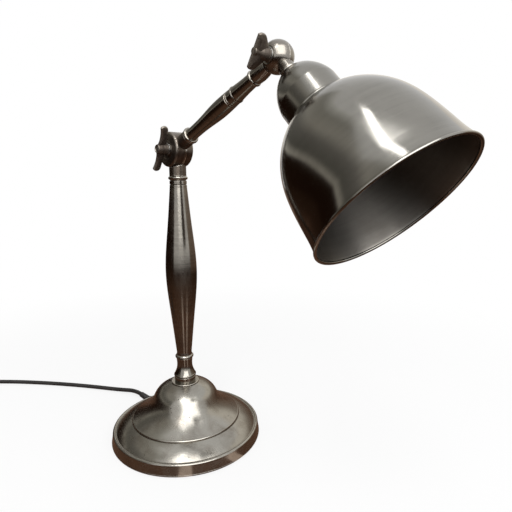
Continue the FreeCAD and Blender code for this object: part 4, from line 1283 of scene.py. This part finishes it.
@dataclass
class Head:
    """The cup, the shade and the lampholder inside them."""

    cup_r: float = 23.0
    cup_s: float = 18.4
    crown_s: float = 61.0
    rim_s: float = 147.3
    rim_r: float = 59.0
    wall: float = 1.2
    holder_r: float = 20.0
    mouth_s: float = 70.0
    thread_r: float = 13.2
    thread_pitch: float = 3.6
    sleeve_low: float = 49.0
    grips: int = 12

    def cup(self) -> Profile:
        """A spun cap: a domed end and a straight wall with a turned-out foot."""
        t, r, s, c = self.wall, self.cup_r, self.cup_s, self.crown_s
        p = Profile(5.05, s).line(6.6, s).arc(17.3, 28.6, r, 44.0).line(r, c - 1.6).line(r + 0.5, c - 0.8)
        p.line(r + 0.3, c).line(r - t, c).line(r - t, 44.0).arc(16.3, 29.5, 6.4, s + t)
        return p.line(5.05, s + t).line(5.05, s)

    def shade(self) -> Profile:
        """The dome: a steep crown, a long side that straightens, a flared lip and a rolled rim."""
        t, r, s, c = self.wall, self.rim_r, self.rim_s, self.crown_s
        p = Profile(self.holder_r + 0.3, c).line(23.2, c)
        p.curve((33.4, 68.0), (43.4, 79.0), (51.0, 94.0), (55.1, 113.0), (57.0, 133.0))
        p.arc(57.7, 139.5, r, s - 0.9).arc(r + 1.0, s + 0.2, r - 0.3, s + 0.9)
        p.arc(r - 1.3, s + 0.3, r - 1.3, s - 0.9)
        p.arc(56.5, 139.5, 57.0 - t, 133.0)
        p.curve((53.9, 113.2), (49.9, 94.4), (42.5, 79.9), (32.6, 69.0), (22.6, c + t))
        return p.line(self.holder_r + 0.3, c + t).line(self.holder_r + 0.3, c)

    def holder(self) -> Profile:
        """The lampholder's outer moulding, with the flange that carries the crown."""
        r, mouth, c = self.holder_r, self.mouth_s + 2, self.crown_s
        p = Profile(5.05, 27.5).line(10.5, 27.5).arc(16.2, 31.0, r - 0.3, 38.0).line(r, 42.0).line(r, 57.6)
        p.line(21.6, 58.4).line(21.6, c).line(r, c).line(r, mouth - 1.0).line(r - 1.0, mouth)
        p.line(15.2, mouth)
        p.line(14.15, self.mouth_s).line(14.15, self.sleeve_low).line(13.4, self.sleeve_low)
        return p.line(13.4, 43.5).line(5.05, 43.5).line(5.05, 27.5)

    def sleeve(self) -> Profile:
        """The thin thread sleeve before its thread is pressed."""
        s = np.linspace(self.mouth_s - 0.3, self.sleeve_low + 0.3, 90)
        p = Profile(self.thread_r + 0.1, self.sleeve_low).line(14.1, self.sleeve_low).line(14.1, self.mouth_s)
        return p.line(self.thread_r + 0.1, self.mouth_s).follow(np.full(90, self.thread_r), s).line(
            self.thread_r + 0.1, self.sleeve_low)

    def pressed_thread(self, radius: Array, height: Array, angle: Array) -> tuple[Array, Array]:
        """Moves the inner wall out by a cosine of the height less the share of a turn."""
        inside = np.clip((13.9 - radius) / 0.4, 0, 1)
        ends = np.clip(np.minimum(self.mouth_s - height, height - self.sleeve_low) / 1.5, 0, 1)
        wave = 0.5 - 0.5 * np.cos(2 * math.pi * height / self.thread_pitch - angle)
        return radius + 0.72 * wave * inside * ends, height + 0 * angle

    def grip(self, radius: Array, height: Array, angle: Array) -> tuple[Array, Array]:
        """Moves the ring's outer rows in by a round dip at each of its grips."""
        outer = np.clip((radius - 22.6) / 1.2, 0, 1) * np.clip((height - self.crown_s - 3.2) / 0.8, 0, 1)
        dip = np.clip(np.cos(angle * self.grips) * 2.2 - 1.2, 0, 1)
        return radius - 1.05 * dip * outer, height + 0 * angle

    def build(self, finishes: Finishes) -> None:
        """Makes the cup, the shade, the ring under its crown and the lampholder."""
        h, low = self.holder_r + 0.05, self.crown_s + self.wall
        ring = Profile(h, low).line(22.3, low).line(25.6, low + 3.2).line(25.6, low + 6.0)
        ring.line(24.8, low + 6.8).line(h, low + 6.8).line(h, low)
        disc = Profile(0.0, 43.5).line(13.35, 43.5).line(13.35, 46.0).line(4.0, 46.0).line(4.0, 47.0)
        disc.arc(2.8, 48.2, 0.8, 48.6).line(0.0, 48.6)
        for name, node, slot, profile, sectors, ripple in (
            ("stem_bead", "stem_ring", Slot.RING, bead_ring(5.05, 7.0, 16.0, self.cup_s), 80, None),
            ("spun_cup", "cup", Slot.SPUN, self.cup(), 192, None),
            ("spun_shade", "shade", Slot.SPUN, self.shade(), 288, None),
            ("shade_lock_ring", "shade_ring", Slot.HOLDER, ring, 240, self.grip),
            ("lampholder", "holder_body", Slot.HOLDER, self.holder(), 128, None),
            ("thread_sleeve", "holder_sleeve", Slot.BRASS, self.sleeve(), 96, self.pressed_thread),
            ("centre_contact", "holder_contact", Slot.BRASS, disc, 64, None),
        ):
            finishes.fit(turned(name, profile, HEAD_AXIS, sectors, 0.2, ripple), Body.HEAD, slot, node)


@dataclass
class Cords:
    """The free cord: from the base to the switch, and on through a coil to the plug."""

    diameter: float = 0.005
    lead: tuple[Point, ...] = (
        (-0.1015, 0.0, 0.0062), (-0.1160, 0.0, 0.0062), (-0.1400, -0.0110, 0.0026),
        (-0.1800, -0.0370, 0.0026), (-0.2220, -0.0685, 0.0026), (-0.2580, -0.0990, 0.0026),
        (-0.2830, -0.1240, 0.0026),
        (-0.2905, -0.1420, 0.0060), (-0.2905, -0.1580, 0.0060),
    )
    link: tuple[Point, ...] = (
        (-0.2905, -0.2090, 0.0060), (-0.2905, -0.2248, 0.0060), (-0.2785, -0.2456, 0.0026),
        (-0.2577, -0.2592, 0.0026), (-0.2410, -0.2592, 0.0026),
    )
    tail: tuple[Point, ...] = (
        (-0.2310, -0.2572, 0.0194), (-0.2140, -0.2572, 0.0194), (-0.1960, -0.2580, 0.0130),
        (-0.1790, -0.2587, 0.0082), (-0.1640, -0.2587, 0.0082),
    )
    coil_centre: tuple[float, float] = (-0.236, -0.225)
    coil_radii: tuple[float, ...] = (34.2, 31.4, 28.6, 25.8, 23.0, 21.0, 26.6, 29.4, 32.2,
                                     34.2, 28.6, 25.8, 23.0, 21.0, 26.6, 29.4, 32.2)
    climbs: tuple[int, ...] = (4, 8, 12)       # half turns that go up to the next layer
    pitch: float = 5.6
    low_z: float = 2.6
    per_half: int = 8

    def coil(self) -> Array:
        """The coil's turns.

        Half turn k is a half circle between two stations that lie across from each other, so its
        middle is offset by half the difference of their radii. The points stand at the middle of
        equal steps of its angle, further out by one over the cosine of half a step, where the
        spline cuts inside them. A climb's height follows half a cosine.

        Returns:
            (n, 3) points in metres.
        """
        places = []
        height = self.low_z
        step = math.pi / self.per_half
        angle = (np.arange(self.per_half) + 0.5) * step
        for k, (r1, r2) in enumerate(zip(self.coil_radii[:-1], self.coil_radii[1:])):
            side = -1.0 if k % 2 == 0 else 1.0
            radius, middle = (r1 + r2) / 2, side * (r1 - r2) / 2
            rise = self.pitch if k in self.climbs else 0.0
            z = height + rise * (1 - np.cos(angle)) / 2
            height += rise
            reach = radius / math.cos(step / 2)
            x, y = -side * reach * np.sin(angle), middle + side * reach * np.cos(angle)
            places.append(np.stack([x, y, z], axis=1))
        return np.vstack(places) * MM + np.array([*self.coil_centre, 0.0])

    def strand(self, name: str, points: Array) -> bpy.types.Object:
        """A round cord whose line is a quadratic spline with these control points."""
        curve = bpy.data.curves.new(name, "CURVE")
        curve.dimensions = "3D"
        spline = curve.splines.new("NURBS")
        spline.points.add(len(points) - 1)
        spline.points.foreach_set("co", np.column_stack([points, np.ones(len(points))]).ravel())
        spline.order_u = 3
        spline.use_endpoint_u = True
        curve.resolution_u = curve.render_resolution_u = 6
        curve.bevel_depth = self.diameter / 2
        curve.bevel_resolution = 4
        curve.use_fill_caps = True
        return placed(name, curve)

    def build(self, finishes: Finishes) -> None:
        lead = self.strand("lead_cord", np.array(self.lead))
        finishes.fit(lead, Body.STAND, Slot.CORD, "cord_lead")
        rest = np.vstack([self.link, self.coil(), self.tail])
        wound = self.strand("wound_cord", rest)
        finishes.fit(wound, Body.STAND, Slot.CORD, "cord_link", "cord_coil", "cord_tail")


# ---- studio -------------------------------------------------------------------------------
@dataclass
class Studio:
    """The camera, the white surround, the pale floor, two windows and the painted reflections of a room that
    gloss sees.
    """

    eye: Point = (0.38279, -0.25266, 0.27418)
    yaw: float = 2.3867
    pitch: float = 0.1686
    roll: float = -0.0075
    lens_mm: float = 30.9375
    middle: Point = (0.08, 0.0, 0.2)                   # what the windows look at
    floor_half: float = 12.0
    floor_drop: float = 0.0003                         # below the lamp's own plane
    floor_white: tuple[float, float] = (0.78, 1.0)     # how much of the floor is glow, near and far
    floor_fade: tuple[float, float] = (0.25, 0.75)     # metres from the lamp between which it grows
    weak_white: float = 0.6                            # the surround, to what scatters
    left_far: float = 1.6
    right_far: float = 1.0

    def camera(self) -> None:
        """Puts the camera where the photograph was taken from."""
        cy, sy, cp, sp = math.cos(self.yaw), math.sin(self.yaw), math.cos(self.pitch), math.sin(self.pitch)
        ahead, right = Vector((cy * cp, sy * cp, -sp)), Vector((sy, -cy, 0.0))
        up = right.cross(ahead)
        cr, sr = math.cos(self.roll), math.sin(self.roll)
        right, up = right * cr + up * sr, up * cr - right * sr
        data = bpy.data.cameras.new("view")
        data.sensor_fit, data.sensor_width, data.lens = "HORIZONTAL", 36.0, self.lens_mm
        data.clip_start, data.clip_end = 0.01, 40.0
        made = placed("view", data)
        turn = Matrix((right, up, -ahead)).transposed().to_4x4()
        made.matrix_world = Matrix.Translation(self.eye) @ turn
        bpy.context.scene.camera = made

    def surround(self) -> None:
        """White to the camera and to mirrors, a weaker white to everything that scatters."""
        world = bpy.data.worlds.new("white surround")
        bpy.context.scene.world = world
        world.use_nodes = True
        w = Wiring(world.node_tree)
        w.tree.nodes.clear()
        plain = w.node("Background", {"Color": (1.0, 1.0, 1.0), "Strength": self.weak_white})
        white = w.node("Background", {"Color": (1.0, 1.0, 1.0), "Strength": 1.0})
        both = w.node("MixShader", {0: w.seen(), 1: plain, 2: white})
        w.feed(w.node("OutputWorld").inputs["Surface"], both)

    def floor(self) -> None:
        """A pale floor that turns into the white surround with distance and keeps the shadow."""
        mesh = bpy.data.meshes.new("floor")
        h, z = self.floor_half, -self.floor_drop
        mesh.from_pydata([(-h, -h, z), (h, -h, z), (h, h, z), (-h, h, z)], [], [(0, 1, 2, 3)])
        made = placed("floor", mesh)
        w, material = Wiring.material("pale floor", bare=True)
        place = w.node("TexCoord").outputs["Object"]
        far = w.node("VectorMath", {0: place}, operation="LENGTH").outputs["Value"]
        share = w.stretch(far, *self.floor_fade, *self.floor_white)
        paint = w.node("BsdfDiffuse", {"Color": (0.80, 0.80, 0.80)})
        glow = w.node("Emission", {"Color": (1.0, 1.0, 1.0), "Strength": 1.0})
        mixed = w.node("MixShader", {0: w.times(share, w.seen()), 1: paint, 2: glow})
        w.feed(w.node("OutputMaterial").inputs["Surface"], mixed)
        mesh.materials.append(material)

    def window(self, name: str, azimuth: float, height: float, far: float, size: tuple[float, float],
               watts: float) -> None:
        """A soft rectangular white light that looks at the middle of the lamp.

        Args:
            name: Its name.
            azimuth: Its direction, in degrees from +X towards +Y.
            height: Its elevation, in degrees.
            far: Its distance, in metres.
            size: Its width and height, in metres.
            watts: Its power.
        """
        a, e = math.radians(azimuth), math.radians(height)
        way = Vector((math.cos(a) * math.cos(e), math.sin(a) * math.cos(e), math.sin(e)))
        data = bpy.data.lights.new(name, "AREA")
        data.shape, data.size, data.size_y = "RECTANGLE", *size
        data.energy = watts
        made = placed(name, data)
        made.location = Vector(self.middle) + way * far
        made.rotation_euler = way.to_track_quat("Z", "Y").to_euler()
        made.visible_camera = False

    def glow(self, name: str, rows: tuple[tuple[float, float, Colour], ...],
             azimuths: tuple[float, float]) -> None:
        """A curved sheet of glow round the lamp that only its gloss can see.

        Each row is an arc about the lamp, and the colour runs evenly from one row to the next.

        Args:
            name: Its name.
            rows: Each row's radius and height in metres, and its colour.
            azimuths: Where the arcs start and end, in degrees from +X towards +Y.
        """
        steps = 33
        angle = np.radians(np.linspace(*azimuths, steps))
        ring = np.stack([np.cos(angle), np.sin(angle), 0 * angle], axis=1)
        points = np.vstack([ring * r + np.array([0.0, 0.0, z]) for r, z, _ in rows])
        k = (np.arange(len(rows) - 1)[:, None] * steps + np.arange(steps - 1)).ravel()
        mesh = bpy.data.meshes.new(name)
        faces = np.stack([k, k + 1, k + steps + 1, k + steps], axis=1)
        mesh.from_pydata(points.tolist(), [], faces.tolist())
        tint = mesh.attributes.new("tint", "FLOAT_COLOR", "POINT")
        tints = np.repeat([(*colour, 1.0) for *_, colour in rows], steps, axis=0)
        tint.data.foreach_set("color", tints.ravel())
        made = placed(name, mesh)
        for kind in ("camera", "diffuse", "transmission", "volume_scatter", "shadow"):
            setattr(made, "visible_" + kind, False)
        w, material = Wiring.material(name, bare=True)
        colour = w.node("Attribute", attribute_name="tint").outputs["Color"]
        shine = w.node("Emission", {"Color": colour, "Strength": 1.0})
        w.feed(w.node("OutputMaterial").inputs["Surface"], shine)
        mesh.materials.append(material)

    def light(self) -> None:
        """The windows, and glowing sheets that only gloss sees: painted reflections of a desk top, furniture
        and walls.
        """
        self.window("window", -58.0, 64.0, 1.6, (0.15, 0.70), 2.4)
        self.window("wide_window", -22.0, 40.0, 1.9, (1.9, 2.1), 42.0)
        # Painted reflections: glowing sheets that only gloss sees, a brown disc under the lamp and two pale
        # strips on it, standing in for the reflection of a desk top and its shine.
        wood_reflection, shaded, dim = (0.16, 0.085, 0.053), (0.04, 0.02, 0.012), (0.02, 0.01, 0.006)
        table_reflection = ((0.05, wood_reflection), (0.30, wood_reflection), (0.7, shaded), (2.4, dim))
        self.glow("table_reflection", tuple((r, 0.0004, colour) for r, colour in table_reflection), (0.0, 360.0))
        sheen = ((0.05, 0.0006, (0.75, 0.57, 0.47)), (0.30, 0.0006, (0.95, 0.80, 0.70)))
        for name, middle in (("table_sheen", -36.0), ("second_sheen", 6.0)):
            self.glow(name, sheen, (middle - 5.0, middle + 5.0))
        # Painted reflections: curved glowing sheets to the left and right that only gloss sees, dark low down
        # with pale bands above, standing in for the reflection of furniture and walls.
        dark = (0.020, 0.009, 0.005)
        left = ((0.0, dark), (0.52, dark), (0.60, (0.62, 0.59, 0.52)), (0.80, (0.16, 0.155, 0.135)),
                (1.25, (0.24, 0.23, 0.21)), (1.7, (0.52, 0.50, 0.45)), (2.6, (0.42, 0.41, 0.37)),
                (3.9, (0.95, 0.95, 0.92)))
        right = ((0.0, (0.20, 0.12, 0.08)), (0.34, (0.34, 0.28, 0.23)), (0.50, (1.0, 0.95, 0.86)),
                 (0.9, (1.1, 1.04, 0.95)))
        for name, far, walls, azimuths in (("left_room_reflection", self.left_far, left, (-205.0, -88.0)),
                                           ("right_room_reflection", self.right_far, right, (38.0, 150.0))):
            self.glow(name, tuple((far, z, colour) for z, colour in walls), azimuths)


def main() -> None:
    """Builds the camera and the cords, then the lamp from its foot to its shade."""
    logging.basicConfig(level=logging.INFO, format="%(name)s: %(message)s")
    studio = Studio()
    studio.camera()
    finishes = Finishes()
    finishes.dress_nodes()
    Cords().build(finishes)
    for assembly in (Base(), Column(), LowerKnuckle(), Arm(), UpperKnuckle(), Head()):
        assembly.build(finishes)
        LOG.info("%s is in place", type(assembly).__name__)
    studio.surround()
    studio.floor()
    studio.light()
    bpy.context.scene.view_settings.view_transform = "Standard"


if __name__ == "__main__":
    main()
